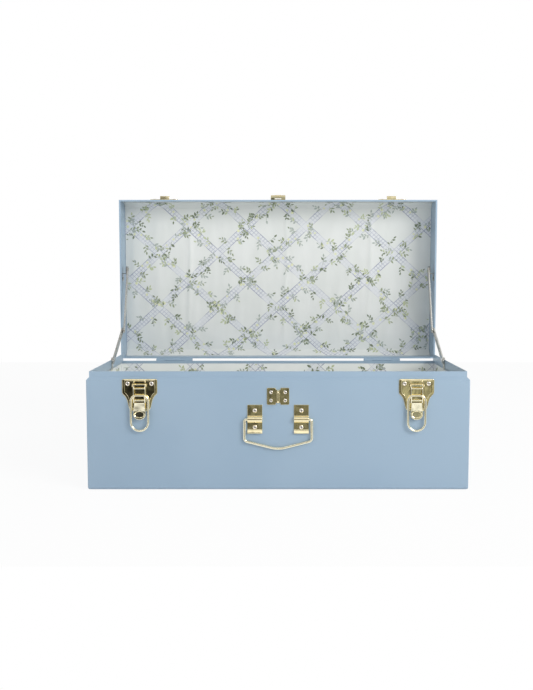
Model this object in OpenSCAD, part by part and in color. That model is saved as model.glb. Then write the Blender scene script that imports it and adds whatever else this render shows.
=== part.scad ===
// A small tin trunk: a painted sheet-steel box with a hinged lid, a printed lining, two draw
// latches, a hasp and staple, a wire carry handle and a folding stay at each side.
// The trunk stands open. The origin is the centre of its underside, with +Z up, the front face
// towards -Y and the right end towards +X. All sizes are in millimetres.

/* [Trunk] */
// Width of the trunk, left to right
body_w = 500; // [400:5:600]
// Depth of the trunk, front to back
body_d = 250; // [210:5:320]
// Height of the body up to its shoulder
body_h = 145; // [130:5:190]
// Depth of the lid, from its rim to its outside top
lid_h = 50; // [42:1:70]
// Thickness of the painted steel sheet
sheet_t = 0.8; // [0.6:0.1:1.1]
// Radius of the body's bottom edges
base_r = 4; // [2:0.5:6]
// Radius of the body's upright corners
corner_r = 1.6; // [1.2:0.1:3]
// Radius of the lid's front and back bends
lid_bend_r = 10; // [6:0.5:14]
// Width of the flange turned in under the body
base_flange = 14; // [10:1:24]

/* [Neck and rim] */
// Height of the neck above the shoulder
neck_h = 11.3; // [9:0.1:14]
// How far the neck stands in from the body's faces
neck_inset = 3.6; // [3.4:0.1:5]
// Height of the sloping shoulder below the neck
shoulder_h = 3.8; // [3:0.1:5]
// Total thickness of the folded lid rim
hem_t = 2.4; // [2:0.1:2.8]
// Height of the folded lid rim
hem_h = 4; // [3:0.5:6]
// Play between the closed lid's rim and the sloping shoulder
seat_clear = 0.3; // [0.2:0.05:0.5]
// How far the neck's lower flange reaches down inside the body
neck_flange = 12; // [8:1:20]
// Room left behind the neck's ends for the lid's back wall
neck_back_clear = 3; // [2.8:0.1:5]

/* [Lining] */
// Thickness of the body's lining card
card_t = 1.2; // [1:0.1:2]
// Thickness of the lid's lining
lid_lining_t = 0.5; // [0.3:0.1:1]
// How far the body lining's top edge lies below the foot of the neck's slope
lining_drop = 0.4; // [0.3:0.1:3]
// How far the lid lining reaches down the back wall past the bend
lid_lining_back = 2; // [1:0.5:8]

/* [Back hinges] */
// Distance from the trunk's middle to each hinge's middle
hinge_x = 165; // [110:1:180]
// Length of each hinge
hinge_len = 56; // [40:1:80]
// Length of the middle knuckle, which the lid's leaf carries
hinge_mid_len = 30.6; // [16:0.2:50]
// How far the hinge axis lies behind the back face
hinge_off = 2; // [1.8:0.1:3]
// Radius of the hinge barrel
hinge_r = 2.15; // [1.8:0.05:2.2]
// Diameter of the hinge pin
hinge_pin_d = 2; // [1.6:0.1:2.4]
// Thickness of a hinge leaf
hinge_leaf_t = 1; // [0.8:0.1:1.2]
// Height of a hinge leaf
hinge_leaf_h = 24; // [18:1:36]

/* [Draw latches] */
// Distance from the trunk's middle to each latch's middle
latch_x = 180; // [120:1:190]
// Width of the latch plate at its top
latch_w = 46; // [42:1:54]
// Width of the latch plate at its foot
latch_foot_w = 29; // [27:1:34]
// How far the latch plate's top stands above the shoulder
latch_rise = 1.8; // [0:0.1:2.2]
// How far the latch plate reaches below the shoulder
latch_drop = 40.3; // [38:0.1:46]
// Depth below the shoulder of the lever's pin
lever_pin_drop = 6.5; // [6:0.1:9]
// Depth below the shoulder of the wire loop's pivot
loop_pivot_drop = 20.6; // [19:0.1:23]
// Width of the lever
lever_w = 16; // [14:0.2:16.2]
// Depth below the shoulder of the lever's lower end
lever_drop = 51; // [48:0.5:56]
// Diameter of the latch loop's wire
loop_wire_d = 3; // [2.4:0.1:3.2]
// Outside width of the latch loop
loop_w = 25.4; // [25:0.2:30]
// Length of the latch loop, from its pivot to its outside end
loop_len = 46.7; // [44:0.1:52]
// Width of the strike plate on the lid
strike_w = 43.3; // [38:0.1:50]
// Width of the strike's hook
strike_hook_w = 14.4; // [10:0.2:15]

/* [Hasp and staple] */
// Width over the staple's two wings
staple_w = 29.2; // [27:0.2:36]
// Height of the staple's wings
staple_h = 22.3; // [20:0.1:28]
// Depth below the shoulder of the staple's middle
staple_drop = 20.9; // [18:0.1:24]
// How far the staple's eye stands out
staple_out = 10; // [9.6:0.1:13]
// Thickness of the staple's eye
staple_eye_t = 2.4; // [2:0.1:3]
// Diameter of the padlock hole in the eye
padlock_d = 6.2; // [6:0.1:7]
// Width of the hasp
hasp_w = 22.8; // [20:0.2:30]
// Height of the hasp's fixed leaf above its pin
hasp_leaf_h = 19; // [14:0.5:26]
// Width of the slot in the hasp
hasp_slot_w = 5.4; // [4.6:0.2:7]

/* [Carry handle] */
// Distance between the handle's upright wires
handle_w = 88; // [80:1:110]
// Diameter of the handle's wire
handle_wire_d = 3.2; // [2.6:0.1:3.6]
// Depth below the shoulder of the handle's pivots
handle_drop = 51; // [48:0.5:60]
// Drop of the handle's corners below its pivots
handle_side = 28.5; // [24:0.5:40]
// Drop of the handle's middle below its corners
handle_sag = 11; // [8:0.5:16]
// Width of a handle bracket
bracket_w = 19.4; // [16:0.2:22]
// Height of a handle bracket
bracket_h = 37.8; // [34:0.2:44]

/* [Lid stays] */
// Thickness of a stay's links
link_t = 1.8; // [1.2:0.1:2]
// Width of a stay's links
link_w = 9; // [7:0.5:11]
// Distance of the body pivot ahead of the trunk's back face
stay_c_back = 97.1; // [96:0.1:98]
// Height of the body pivot above the shoulder
stay_c_rise = 9.7; // [9.2:0.1:10]
// Distance of the elbow ahead of the back face, lid open
stay_b_back = 19.3; // [19:0.1:20]
// Height of the elbow above the shoulder, lid open
stay_b_rise = 49.9; // [49.5:0.1:50.5]
// Depth of the lid pivot inside the lid's rim
stay_a_in = 16.4; // [16:0.1:17]
// Height of the lid pivot above the hinge axis, lid open
stay_a_rise = 143.6; // [143:0.1:144]
// How far the upper link turns on the lid while the lid closes, in degrees
stay_upper_turn = 21; // [20.5:0.1:21.5]
// Play of the elbow's pin across the lower link's slot
stay_slot_play = 0.6; // [0.5:0.05:1]

/* [Plates and rivets] */
// Thickness of the brass plates
plate_t = 1.2; // [1:0.1:1.5]
// Diameter of a rivet's head
head_d = 5.8; // [5:0.1:6.4]
// Height of a rivet's head
head_h = 1.2; // [0.8:0.1:1.6]
// Diameter of a rivet's shank
shank_d = 2.4; // [2:0.1:3]
// Running clearance round each pin, wire and rivet
fit = 0.05; // [0.03:0.01:0.08]
// Gap between pieces that pass each other
pass = 0.3; // [0.2:0.05:0.5]

/* [Hidden] */
$fn = 48;
eps = 1;
wire_lap = 0.3;
wire_swell = 0.02;

front_y = -body_d / 2;
back_y = body_d / 2;
neck_x = body_w / 2 - neck_inset;
neck_y = body_d / 2 - neck_inset;
neck_top = body_h + neck_h;
shoulder_top = body_h + shoulder_h;
neck_end_y = back_y - neck_back_clear;
slope_len = norm([neck_inset, shoulder_h]);
slope_in = [shoulder_h, neck_inset] * sheet_t / slope_len;

lid_gap = hem_t * shoulder_h / neck_inset + seat_clear;
rim_z = body_h + lid_gap;
lid_top = rim_z + lid_h;
axis_y = back_y + hinge_off;
axis_z = body_h + lid_gap / 2;

neck_foot = body_h - shoulder_h;
lining_top = neck_foot - lining_drop;
flange_bottom = neck_foot - neck_flange;
floor_z = 2 * sheet_t;
window_w = body_w - 2 * base_flange;
window_d = body_d - 2 * base_flange;

knuckle_gap = pass;
hinge_rivet_x = hinge_len / 2 - 8;
leaf_edge_gap = 1.2;

lever_pin_z = body_h - lever_pin_drop;
lever_pin_out = 4.2;
lever_pin_d = 2;
ear_t = 1;
ear_r = 2.5;
lever_barrel_r = 2.2;
cheek_t = 1;
cheek_in = plate_t + 0.6;
cheek_out = 5.6;
cheek_foot = 8.6;
loop_pivot_z = body_h - loop_pivot_drop;
loop_pivot_out = 4.4;
loop_r = loop_wire_d / 2;
loop_half = loop_w / 2 - loop_r;
loop_bend_r = 3;
loop_bore_depth = 5;
loop_barrel_r = loop_r + 0.9;
rung_r = 1.2;
rung_drop = 4.6;
tongue_w = 14.5;
tongue_t = 1.2;
tongue_out = 6.4;
dish_r = lever_w / 2;
dish_t = 3.2;
dish_depth = 2.2;
dish_hollow_r = 5.4;
latch_rivet_x = 15.5;
latch_rivet_drop = 4.3;
latch_shoulder_drop = 17.5;

strike_z = rim_z + 3.2;
strike_plate_h = 21;
strike_rivet_z = rim_z + 12;
hook_t = 1;
hook_floor_t = 1.2;
hook_rise = 5.6;
hook_clear = 0.8;
loop_arc_z = loop_pivot_z + loop_len - loop_r - loop_half;
hook_under = sqrt(pow(loop_half - loop_r, 2) - pow(strike_hook_w / 2, 2));
hook_floor_z = loop_arc_z + hook_under - hook_clear;
hook_in = loop_pivot_out + loop_r + pass;

staple_z = body_h - staple_drop;
staple_gap = 5.8;
staple_bridge_h = 17.3;
staple_rivet_x = (staple_w / 2 + staple_gap / 2) / 2 + 0.4;
staple_rivet_z = 5.4;
low_head_h = 0.7;
hasp_pin_d = 2;
hasp_r = 2.4;
hasp_t = 1.2;
hasp_knuckle = 4.7;
hasp_pin_z = rim_z + 2.7;
hasp_plane = plate_t + low_head_h + pass;
hasp_pin_out = 5;
hasp_start = 3;
hasp_foot = 3.6;
hasp_len = hasp_pin_z - staple_z + staple_bridge_h / 2 + hasp_foot;
hasp_slot_h = staple_bridge_h + 2.4;
hasp_rivet_x = 7;
hasp_rivet_z = hasp_pin_z + 12;

handle_z = body_h - handle_drop;
handle_out = 2.7;
handle_r = handle_wire_d / 2;
bracket_top = handle_z + 19;
bracket_in_gap = 4;
bracket_x = handle_w / 2 - bracket_in_gap - bracket_w / 2;
saddle_r = 4.4;
saddle_out = 1;
bracket_lip = 5.1;
bracket_lip_out = 3;
bracket_rivet_up = 11.5;
bracket_rivet_down = 10.4;

stay_bracket_t = 1.2;
stay_bracket_w = 10;
stay_head_h = 0.7;
stay_head_d = 5;
stay_shank_d = 2.4;
stay_play = 0.1;
neck_inner_x = neck_x - sheet_t;
lower_out_x = neck_inner_x - stay_bracket_t - pass;
lower_in_x = lower_out_x - link_t;
upper_out_x = lower_in_x - stay_play - stay_head_h - pass;
upper_in_x = upper_out_x - link_t;
pivot_c = [back_y - stay_c_back, body_h + stay_c_rise];
pivot_b = [back_y - stay_b_back, body_h + stay_b_rise];
pivot_a = [axis_y + lid_gap / 2 + stay_a_in, axis_z + stay_a_rise];
hinge_axis = [axis_y, axis_z];
closed_a = hinge_axis + turned(pivot_a - hinge_axis, 90);
closed_b = closed_a + turned(pivot_b - pivot_a, 90 + stay_upper_turn);
slot_near = norm(closed_b - pivot_c);
slot_far = norm(pivot_b - pivot_c);
stay_foot_drop = 19;
stay_foot_up = 5;

// Turns what is drawn on the closed lid to the open lid
module lid_open() {
    translate([0, axis_y, axis_z])
        rotate([-90, 0, 0])
            translate([0, -axis_y, -axis_z])
                children();
}

// Places a drawing on the front face: its x runs right, its y runs up and its z comes out
module on_front(x = 0, z = 0) {
    translate([x, front_y, z])
        rotate([90, 0, 0])
            children();
}

// Places a drawing on the back face: its y runs up and its z comes out
module on_back(x = 0, z = 0) {
    translate([x, back_y, z])
        rotate([-90, 0, 0])
            mirror([0, 1, 0])
                children();
}

// What rounding takes off a square edge that runs along z from 0 to h, with the material
// towards -x and -y
module edge_waste(r, h) {
    translate([-r, -r, -eps])
        difference() {
            cube([r + eps, r + eps, h + 2 * eps]);
            cylinder(r = r, h = h + 2 * eps);
        }
}

// The four bottom edges and the four upright corners of a box, as waste to cut away
module box_waste(w, d, z0, h, r_base, r_corner) {
    for (s = [-1, 1]) {
        translate([-w / 2, s * d / 2, z0])
            rotate([0, 90, 0])
                mirror([0, s < 0 ? 1 : 0, 0])
                    edge_waste(r_base, w);
        translate([s * w / 2, d / 2, z0])
            rotate([90, 0, 0])
                mirror([s < 0 ? 1 : 0, 0, 0])
                    mirror([0, 1, 0])
                        edge_waste(r_base, d);
        for (t = [-1, 1])
            translate([s * w / 2, t * d / 2, z0])
                mirror([s < 0 ? 1 : 0, 0, 0])
                    mirror([0, t < 0 ? 1 : 0, 0])
                        edge_waste(r_corner, h);
    }
}

// A solid that has one outline seen from the front and another seen from the right
module two_view(front_outline, side_outline) {
    intersection() {
        translate([0, body_d, 0])
            rotate([90, 0, 0])
                linear_extrude(2 * body_d)
                    polygon(front_outline);
        translate([-body_w, 0, 0])
            rotate([90, 0, 90])
                linear_extrude(2 * body_w)
                    polygon(side_outline);
    }
}

// A flat plate with rounded corners, lying on z = 0 and centred on x and y
module plate(w, h, t, r) {
    difference() {
        translate([-w / 2, -h / 2, 0])
            cube([w, h, t]);
        for (s = [0, 1], q = [0, 1])
            mirror([s, 0, 0])
                mirror([0, q, 0])
                    translate([w / 2, h / 2, 0])
                        edge_waste(r, t);
    }
}

// A rivet with its domed head on z = 0 and its shank going down from there
module rivet(depth, d = head_d, h = head_h, shank = shank_d) {
    dome_r = (d * d / 4 + h * h) / (2 * h);
    union() {
        intersection() {
            translate([0, 0, h - dome_r])
                sphere(dome_r);
            cylinder(d = d + 1, h = 2 * h);
        }
        translate([0, 0, -depth])
            cylinder(d = shank, h = depth + h / 3);
    }
}

// The hole for a rivet's shank, through what lies from z = -depth to z = above
module rivet_hole(depth, above = 0, shank = shank_d) {
    translate([0, 0, -depth - eps])
        cylinder(d = shank + 2 * fit, h = depth + above + 2 * eps);
}

function unit(v) = v / norm(v);
function half_turn(p, i) = acos(unit(p[i - 1] - p[i]) * unit(p[i + 1] - p[i])) / 2;
function cut_back(p, r, i) =
    i == 0 || i == len(p) - 1 ? 0 : r[i] / tan(half_turn(p, i));
function heading(v) = atan2(v[1], v[0]);
function turned(v, a) = [v[0] * cos(a) - v[1] * sin(a), v[0] * sin(a) + v[1] * cos(a)];

// Round wire in the x-y plane through the points p, with bend radius r[i] at point i. The
// straight runs lap into the bends, which are a hair thicker, so that the two join cleanly.
module bent_wire(p, r, wire_r) {
    for (i = [0 : len(p) - 2]) {
        way = unit(p[i + 1] - p[i]);
        start = cut_back(p, r, i) - (i > 0 ? wire_lap : 0);
        end = cut_back(p, r, i + 1) - (i < len(p) - 2 ? wire_lap : 0);
        from = p[i] + way * start;
        run = norm(p[i + 1] - p[i]) - start - end;
        if (run > 3 * wire_lap)
            translate([from[0], from[1], 0])
                rotate([0, 0, heading(way)])
                    rotate([0, 90, 0])
                        cylinder(r = wire_r, h = run);
    }
    for (i = [1 : len(p) - 2]) {
        a = unit(p[i - 1] - p[i]);
        b = unit(p[i + 1] - p[i]);
        half = half_turn(p, i);
        centre = p[i] + unit(a + b) * r[i] / sin(half);
        left_turn = a[0] * b[1] - a[1] * b[0] < 0;
        first = p[i] + (left_turn ? a : b) * cut_back(p, r, i);
        translate([centre[0], centre[1], 0])
            rotate([0, 0, heading(first - centre)])
                rotate_extrude(angle = 180 - 2 * half)
                    translate([r[i], 0])
                        circle(r = wire_r + wire_swell);
    }
}

// Body

module body_outside() {
    w = body_w / 2;
    difference() {
        two_view(
            [[-w, 0], [w, 0], [w, body_h], [neck_x, shoulder_top],
             [-neck_x, shoulder_top], [-w, body_h]],
            [[front_y, 0], [back_y, 0], [back_y, body_h], [neck_end_y, body_h],
             [neck_end_y, shoulder_top], [-neck_y, shoulder_top], [front_y, body_h]]
        );
        box_waste(body_w, body_d, 0, shoulder_top, base_r, corner_r);
    }
}

module body_inside() {
    w = body_w / 2 - sheet_t;
    d = body_d / 2 - sheet_t;
    low = body_h - slope_in[1] + (slope_in[0] - sheet_t) * shoulder_h / neck_inset;
    high = low + (w - neck_x) * shoulder_h / neck_inset;
    top = shoulder_top + eps;
    difference() {
        two_view(
            [[-w, sheet_t], [w, sheet_t], [w, low], [neck_x, high], [neck_x, top],
             [-neck_x, top], [-neck_x, high], [-w, low]],
            [[-d, sheet_t], [d, sheet_t], [d, top], [-neck_y, top], [-neck_y, high], [-d, low]]
        );
        box_waste(2 * w, 2 * d, sheet_t, shoulder_top, base_r - sheet_t, corner_r - sheet_t);
    }
}

module front_rivet_holes() {
    depth = sheet_t;
    for (s = [-1, 1]) {
        for (q = [-1, 1]) {
            on_front(s * latch_x + q * latch_rivet_x, body_h - latch_rivet_drop)
                rivet_hole(depth);
            on_front(s * staple_rivet_x, staple_z + q * staple_rivet_z)
                rivet_hole(depth);
        }
        on_front(s * bracket_x, handle_z + bracket_rivet_up)
            rivet_hole(depth);
        on_front(s * bracket_x, handle_z - bracket_rivet_down)
            rivet_hole(depth);
    }
}

module body_shell() {
    color([0.60, 0.68, 0.75])
        difference() {
            body_outside();
            body_inside();
            translate([-window_w / 2, -window_d / 2, -eps])
                cube([window_w, window_d, sheet_t + 2 * eps]);
            front_rivet_holes();
            for (s = [-1, 1])
                hinge_rivets_at(s, false)
                    rivet_hole(sheet_t);
        }
}

// The bottom lies on the turned-in flange, and its middle is pressed down into the window
module body_bottom() {
    edge = 2 * (base_r + pass);
    drop_w = window_w - 2 * pass;
    drop_d = window_d - 2 * pass;
    color([0.57, 0.65, 0.72])
        difference() {
            union() {
                translate([0, 0, sheet_t])
                    plate(body_w - edge, body_d - edge, sheet_t, corner_r);
                plate(drop_w, drop_d, sheet_t * 1.5, corner_r);
            }
            translate([0, 0, sheet_t])
                plate(drop_w - 2 * sheet_t, drop_d - 2 * sheet_t, 2 * sheet_t, corner_r);
        }
}

// The neck's outline on one side, from the flange up, as [distance in from the face, height]
function neck_line(t) = [
    [sheet_t + t, flange_bottom],
    [sheet_t + t, neck_foot],
    [neck_inset + t, body_h],
    [neck_inset + t, neck_top],
];
function mirrored_x(p) = [for (i = [len(p) - 1 : -1 : 0]) [-p[i][0], p[i][1]]];

module neck_block(t, top, bottom) {
    line = neck_line(t);
    ends = [[line[0][0], bottom], line[1], line[2], [line[3][0], top]];
    side = [for (q = ends) [body_w / 2 - q[0], q[1]]];
    fore = [for (q = ends) [-body_d / 2 + q[0], q[1]]];
    two_view(
        concat(side, mirrored_x(side)),
        concat(fore, [[neck_end_y + (t > 0 ? eps : 0), top], [neck_end_y + (t > 0 ? eps : 0), bottom]])
    );
}

module neck_frame() {
    color([0.60, 0.68, 0.75])
        difference() {
            neck_block(0, neck_top, flange_bottom);
            neck_block(sheet_t, neck_top + eps, flange_bottom - eps);
            for (s = [-1, 1]) {
                translate([s * (body_w / 2 - sheet_t), sheet_t - body_d / 2, flange_bottom])
                    mirror([s < 0 ? 1 : 0, 0, 0])
                        mirror([0, 1, 0])
                            edge_waste(corner_r - sheet_t + fit, neck_flange + shoulder_h);
                stay_body_rivet_at(s)
                    rivet_hole(stay_bracket_t + sheet_t, 0, stay_shank_d);
            }
        }
}

module body_lining() {
    w = body_w / 2 - sheet_t;
    d = body_d / 2 - sheet_t;
    step_z = flange_bottom - pass;
    inner_w = body_w - 2 * (sheet_t + card_t);
    inner_d = body_d - 2 * (sheet_t + card_t);
    color([0.90, 0.92, 0.92])
        difference() {
            two_view(
                [[-w, floor_z], [w, floor_z], [w, step_z], [w - sheet_t, step_z],
                 [w - sheet_t, lining_top], [sheet_t - w, lining_top], [sheet_t - w, step_z],
                 [-w, step_z]],
                [[-d, floor_z], [d, floor_z], [d, lining_top], [sheet_t - d, lining_top],
                 [sheet_t - d, step_z], [-d, step_z]]
            );
            box_waste(2 * w, 2 * d, floor_z, body_h, base_r, corner_r);
            translate([-inner_w / 2, -inner_d / 2, floor_z + card_t])
                cube([inner_w, inner_d, body_h]);
        }
}

// Back hinges

module hinge_rivets_at(s, on_lid) {
    z = on_lid
        ? rim_z + leaf_edge_gap + hinge_leaf_h * 0.55
        : body_h - leaf_edge_gap - hinge_leaf_h * 0.55;
    for (q = [-1, 0, 1])
        on_back(s * hinge_x + q * hinge_rivet_x, z)
            children();
}

module hinge_tube(x0, x1) {
    translate([x0, axis_y, axis_z])
        rotate([0, 90, 0])
            cylinder(r = hinge_r, h = x1 - x0);
}

module hinge_bore(s) {
    translate([s * hinge_x - hinge_len, axis_y, axis_z])
        rotate([0, 90, 0])
            cylinder(d = hinge_pin_d + 2 * fit, h = 2 * hinge_len);
}

module hinge_leaf_body(s) {
    x = s * hinge_x;
    outer = hinge_len / 2;
    inner = hinge_mid_len / 2 + knuckle_gap;
    top = body_h - leaf_edge_gap;
    color([0.58, 0.66, 0.73])
        difference() {
            union() {
                translate([x - outer, back_y, top - hinge_leaf_h])
                    cube([hinge_len, hinge_leaf_t, hinge_leaf_h]);
                for (q = [-1, 1]) {
                    x0 = x + (q < 0 ? -outer : inner);
                    translate([x0, back_y, top - 1])
                        cube([outer - inner, hinge_leaf_t, axis_z - top + 1]);
                    hinge_tube(x0, x0 + outer - inner);
                }
            }
            hinge_bore(s);
            hinge_rivets_at(s, false)
                rivet_hole(0, hinge_leaf_t);
            translate([x - outer - eps, back_y - 2 * hinge_r, body_h - hinge_leaf_h])
                cube([hinge_len + 2 * eps, 2 * hinge_r, hinge_leaf_h]);
        }
}

module hinge_leaf_lid(s) {
    x = s * hinge_x;
    half = hinge_mid_len / 2;
    bottom = rim_z + leaf_edge_gap;
    color([0.58, 0.66, 0.73])
        lid_open()
            difference() {
                union() {
                    translate([x - hinge_len / 2, back_y, bottom])
                        cube([hinge_len, hinge_leaf_t, hinge_leaf_h]);
                    translate([x - half, back_y, axis_z])
                        cube([hinge_mid_len, hinge_leaf_t, bottom - axis_z + 1]);
                    hinge_tube(x - half, x + half);
                }
                hinge_bore(s);
                hinge_rivets_at(s, true)
                    rivet_hole(0, hinge_leaf_t);
                translate([x - half - eps, back_y - 2 * hinge_r, rim_z])
                    cube([hinge_mid_len + 2 * eps, 2 * hinge_r, hinge_leaf_h]);
            }
}

module hinge_pin(s) {
    head = 0.8;
    len_all = hinge_len + 2 * head;
    color([0.58, 0.66, 0.73])
        translate([s * hinge_x - len_all / 2, axis_y, axis_z])
            rotate([0, 90, 0])
                union() {
                    cylinder(d = hinge_pin_d, h = len_all);
                    for (z = [0, len_all - head])
                        translate([0, 0, z])
                            cylinder(r = hinge_r - 0.35, h = head);
                }
}

module hinge_rivets(on_lid) {
    for (s = [-1, 1])
        hinge_rivets_at(s, on_lid)
            translate([0, 0, hinge_leaf_t])
                rivet(hinge_leaf_t + sheet_t);
}

module hinge_rivets_body() {
    color([0.58, 0.66, 0.73])
        hinge_rivets(false);
}

module hinge_rivets_lid() {
    color([0.58, 0.66, 0.73])
        lid_open()
            hinge_rivets(true);
}

// Draw latches

// Half of the latch plate's outline, as [distance from the middle, drop below the shoulder]
function latch_half() =
    let (w = latch_w / 2, f = latch_foot_w / 2, s = latch_shoulder_drop, e = latch_drop)
    [
        [w - 2.2, -latch_rise],
        [w - 0.6, 0.6 - latch_rise],
        [w, 2.2 - latch_rise],
        [w, s - 2],
        [w - 0.7, s + 0.4],
        [w - 3, s + 2.6],
        [f + 3.6, s + 5],
        [f + 2, s + 8.6],
        [f + 0.9, s + 13.4],
        [f, e - 5.6],
        [f - 1, e - 2.6],
        [f - 3, e - 0.7],
        [f - 5, e],
    ];

module latch_base(s) {
    half = latch_half();
    outline = concat(
        [for (q = half) [q[0], -q[1]]],
        [for (i = [len(half) - 1 : -1 : 0]) [-half[i][0], -half[i][1]]]
    );
    color([0.80, 0.68, 0.38])
        on_front(s * latch_x, 0)
            difference() {
                union() {
                    translate([0, body_h, 0])
                        linear_extrude(plate_t)
                            polygon(outline);
                    for (q = [-1, 1]) {
                        x0 = q * (lever_w / 2 + pass + ear_t / 2) - ear_t / 2;
                        translate([x0, lever_pin_z - ear_r, plate_t - 0.4])
                            cube([ear_t, 2 * ear_r, lever_pin_out - plate_t + 0.4]);
                        translate([x0, lever_pin_z, lever_pin_out])
                            rotate([0, 90, 0])
                                cylinder(r = ear_r, h = ear_t);
                    }
                }
                translate([-latch_w / 2, lever_pin_z, lever_pin_out])
                    rotate([0, 90, 0])
                        cylinder(d = lever_pin_d + 2 * fit, h = latch_w);
                for (q = [-1, 1])
                    translate([q * latch_rivet_x, body_h - latch_rivet_drop, 0])
                        rivet_hole(0, plate_t);
            }
}

module latch_pin(s) {
    half = lever_w / 2 + pass + ear_t;
    color([0.80, 0.68, 0.38])
        on_front(s * latch_x, 0)
            translate([-half, lever_pin_z, lever_pin_out])
                rotate([0, 90, 0])
                    cylinder(d = lever_pin_d, h = 2 * half);
}

module latch_rivets() {
    color([0.86, 0.82, 0.76])
        for (s = [-1, 1], q = [-1, 1])
            on_front(s * latch_x + q * latch_rivet_x, body_h - latch_rivet_drop)
                translate([0, 0, plate_t])
                    rivet(plate_t + sheet_t);
}

module latch_lever(s) {
    dish_z = body_h - lever_drop + dish_r;
    tongue_top = loop_pivot_z - loop_barrel_r;
    hollow_r = (dish_hollow_r * dish_hollow_r + dish_depth * dish_depth) / (2 * dish_depth);
    color([0.86, 0.76, 0.48])
        on_front(s * latch_x, 0)
            difference() {
                union() {
                    for (tube = [[lever_pin_z, lever_pin_out, lever_barrel_r],
                                 [loop_pivot_z, loop_pivot_out, loop_barrel_r],
                                 [lever_pin_z - rung_drop, loop_pivot_out, rung_r]])
                        translate([-lever_w / 2, tube[0], tube[1]])
                            rotate([0, 90, 0])
                                cylinder(r = tube[2], h = lever_w);
                    for (q = [0, 1])
                        mirror([q, 0, 0])
                            translate([lever_w / 2 - cheek_t, loop_pivot_z - cheek_foot, cheek_in])
                                cube([cheek_t, lever_pin_z - loop_pivot_z + cheek_foot,
                                      cheek_out - cheek_in]);
                    translate([-tongue_w / 2, dish_z, tongue_out - tongue_t])
                        cube([tongue_w, tongue_top - dish_z, tongue_t]);
                    translate([0, dish_z, tongue_out - dish_t])
                        cylinder(r = dish_r, h = dish_t);
                }
                translate([-lever_w, lever_pin_z, lever_pin_out])
                    rotate([0, 90, 0])
                        cylinder(d = lever_pin_d + 2 * fit, h = 2 * lever_w);
                translate([-lever_w, loop_pivot_z, loop_pivot_out])
                    rotate([0, 90, 0])
                        cylinder(r = loop_r + fit, h = 2 * lever_w);
                translate([0, dish_z - 1.6, tongue_out + hollow_r - dish_depth])
                    sphere(hollow_r);
            }
}

module latch_loop(s) {
    stub = lever_w / 2 - loop_bore_depth;
    top = loop_pivot_z;
    end = loop_pivot_z - loop_len + loop_r;
    color([0.93, 0.88, 0.76])
        on_front(s * latch_x, 0)
            translate([0, 0, loop_pivot_out])
                bent_wire(
                    [[stub, top], [loop_half, top], [loop_half, end], [-loop_half, end],
                     [-loop_half, top], [-stub, top]],
                    [0, loop_bend_r, loop_half, loop_half, loop_bend_r, 0],
                    loop_r
                );
}

module strike(s) {
    color([0.80, 0.68, 0.38])
        lid_open()
            on_front(s * latch_x, 0)
                difference() {
                    union() {
                        translate([0, strike_z + strike_plate_h / 2, 0])
                            plate(strike_w, strike_plate_h, plate_t, 3);
                        translate([-strike_hook_w / 2, hook_floor_z - hook_floor_t, plate_t - 0.4])
                            cube([strike_hook_w, hook_floor_t, hook_in + hook_t - plate_t + 0.4]);
                        translate([-strike_hook_w / 2, hook_floor_z - hook_floor_t, hook_in])
                            cube([strike_hook_w, hook_rise, hook_t]);
                    }
                    for (q = [-1, 1])
                        translate([q * latch_rivet_x, strike_rivet_z, 0])
                            rivet_hole(0, plate_t);
                }
}

module strike_rivets() {
    color([0.86, 0.82, 0.76])
        lid_open()
            for (s = [-1, 1], q = [-1, 1])
                on_front(s * latch_x + q * latch_rivet_x, strike_rivet_z)
                    translate([0, 0, plate_t])
                        rivet(plate_t + sheet_t);
}

// Hasp and staple

module hasp_staple() {
    wing = (staple_w - staple_gap) / 2;
    color([0.80, 0.68, 0.38])
        on_front(0, staple_z)
            difference() {
                union() {
                    for (q = [-1, 1])
                        translate([q * (staple_gap + wing) / 2, 0, 0])
                            plate(wing, staple_h, plate_t, 1.6);
                    translate([-staple_gap / 2 - 1, -staple_bridge_h / 2, 0])
                        cube([staple_gap + 2, staple_bridge_h, plate_t]);
                    translate([-staple_eye_t / 2, -staple_bridge_h / 2, 0])
                        difference() {
                            cube([staple_eye_t, staple_bridge_h, staple_out]);
                            for (q = [0, 1])
                                translate([0, q * staple_bridge_h, staple_out])
                                    rotate([0, 90, 0])
                                        mirror([0, 1 - q, 0])
                                            mirror([1, 0, 0])
                                                edge_waste(4, staple_eye_t);
                        }
                }
                translate([-staple_w, 0, staple_out - 1.3 - padlock_d / 2])
                    rotate([0, 90, 0])
                        cylinder(d = padlock_d, h = 2 * staple_w);
                for (q = [-1, 1], r = [-1, 1])
                    translate([q * staple_rivet_x, r * staple_rivet_z, 0])
                        rivet_hole(0, plate_t);
            }
}

module staple_rivets() {
    color([0.86, 0.82, 0.76])
        for (q = [-1, 1], r = [-1, 1])
            on_front(q * staple_rivet_x, staple_z + r * staple_rivet_z)
                translate([0, 0, plate_t])
                    rivet(plate_t + sheet_t, 4.6, low_head_h);
}

module hasp_bore() {
    translate([-hasp_w, hasp_pin_z, hasp_pin_out])
        rotate([0, 90, 0])
            cylinder(d = hasp_pin_d + 2 * fit, h = 2 * hasp_w);
}

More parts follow.
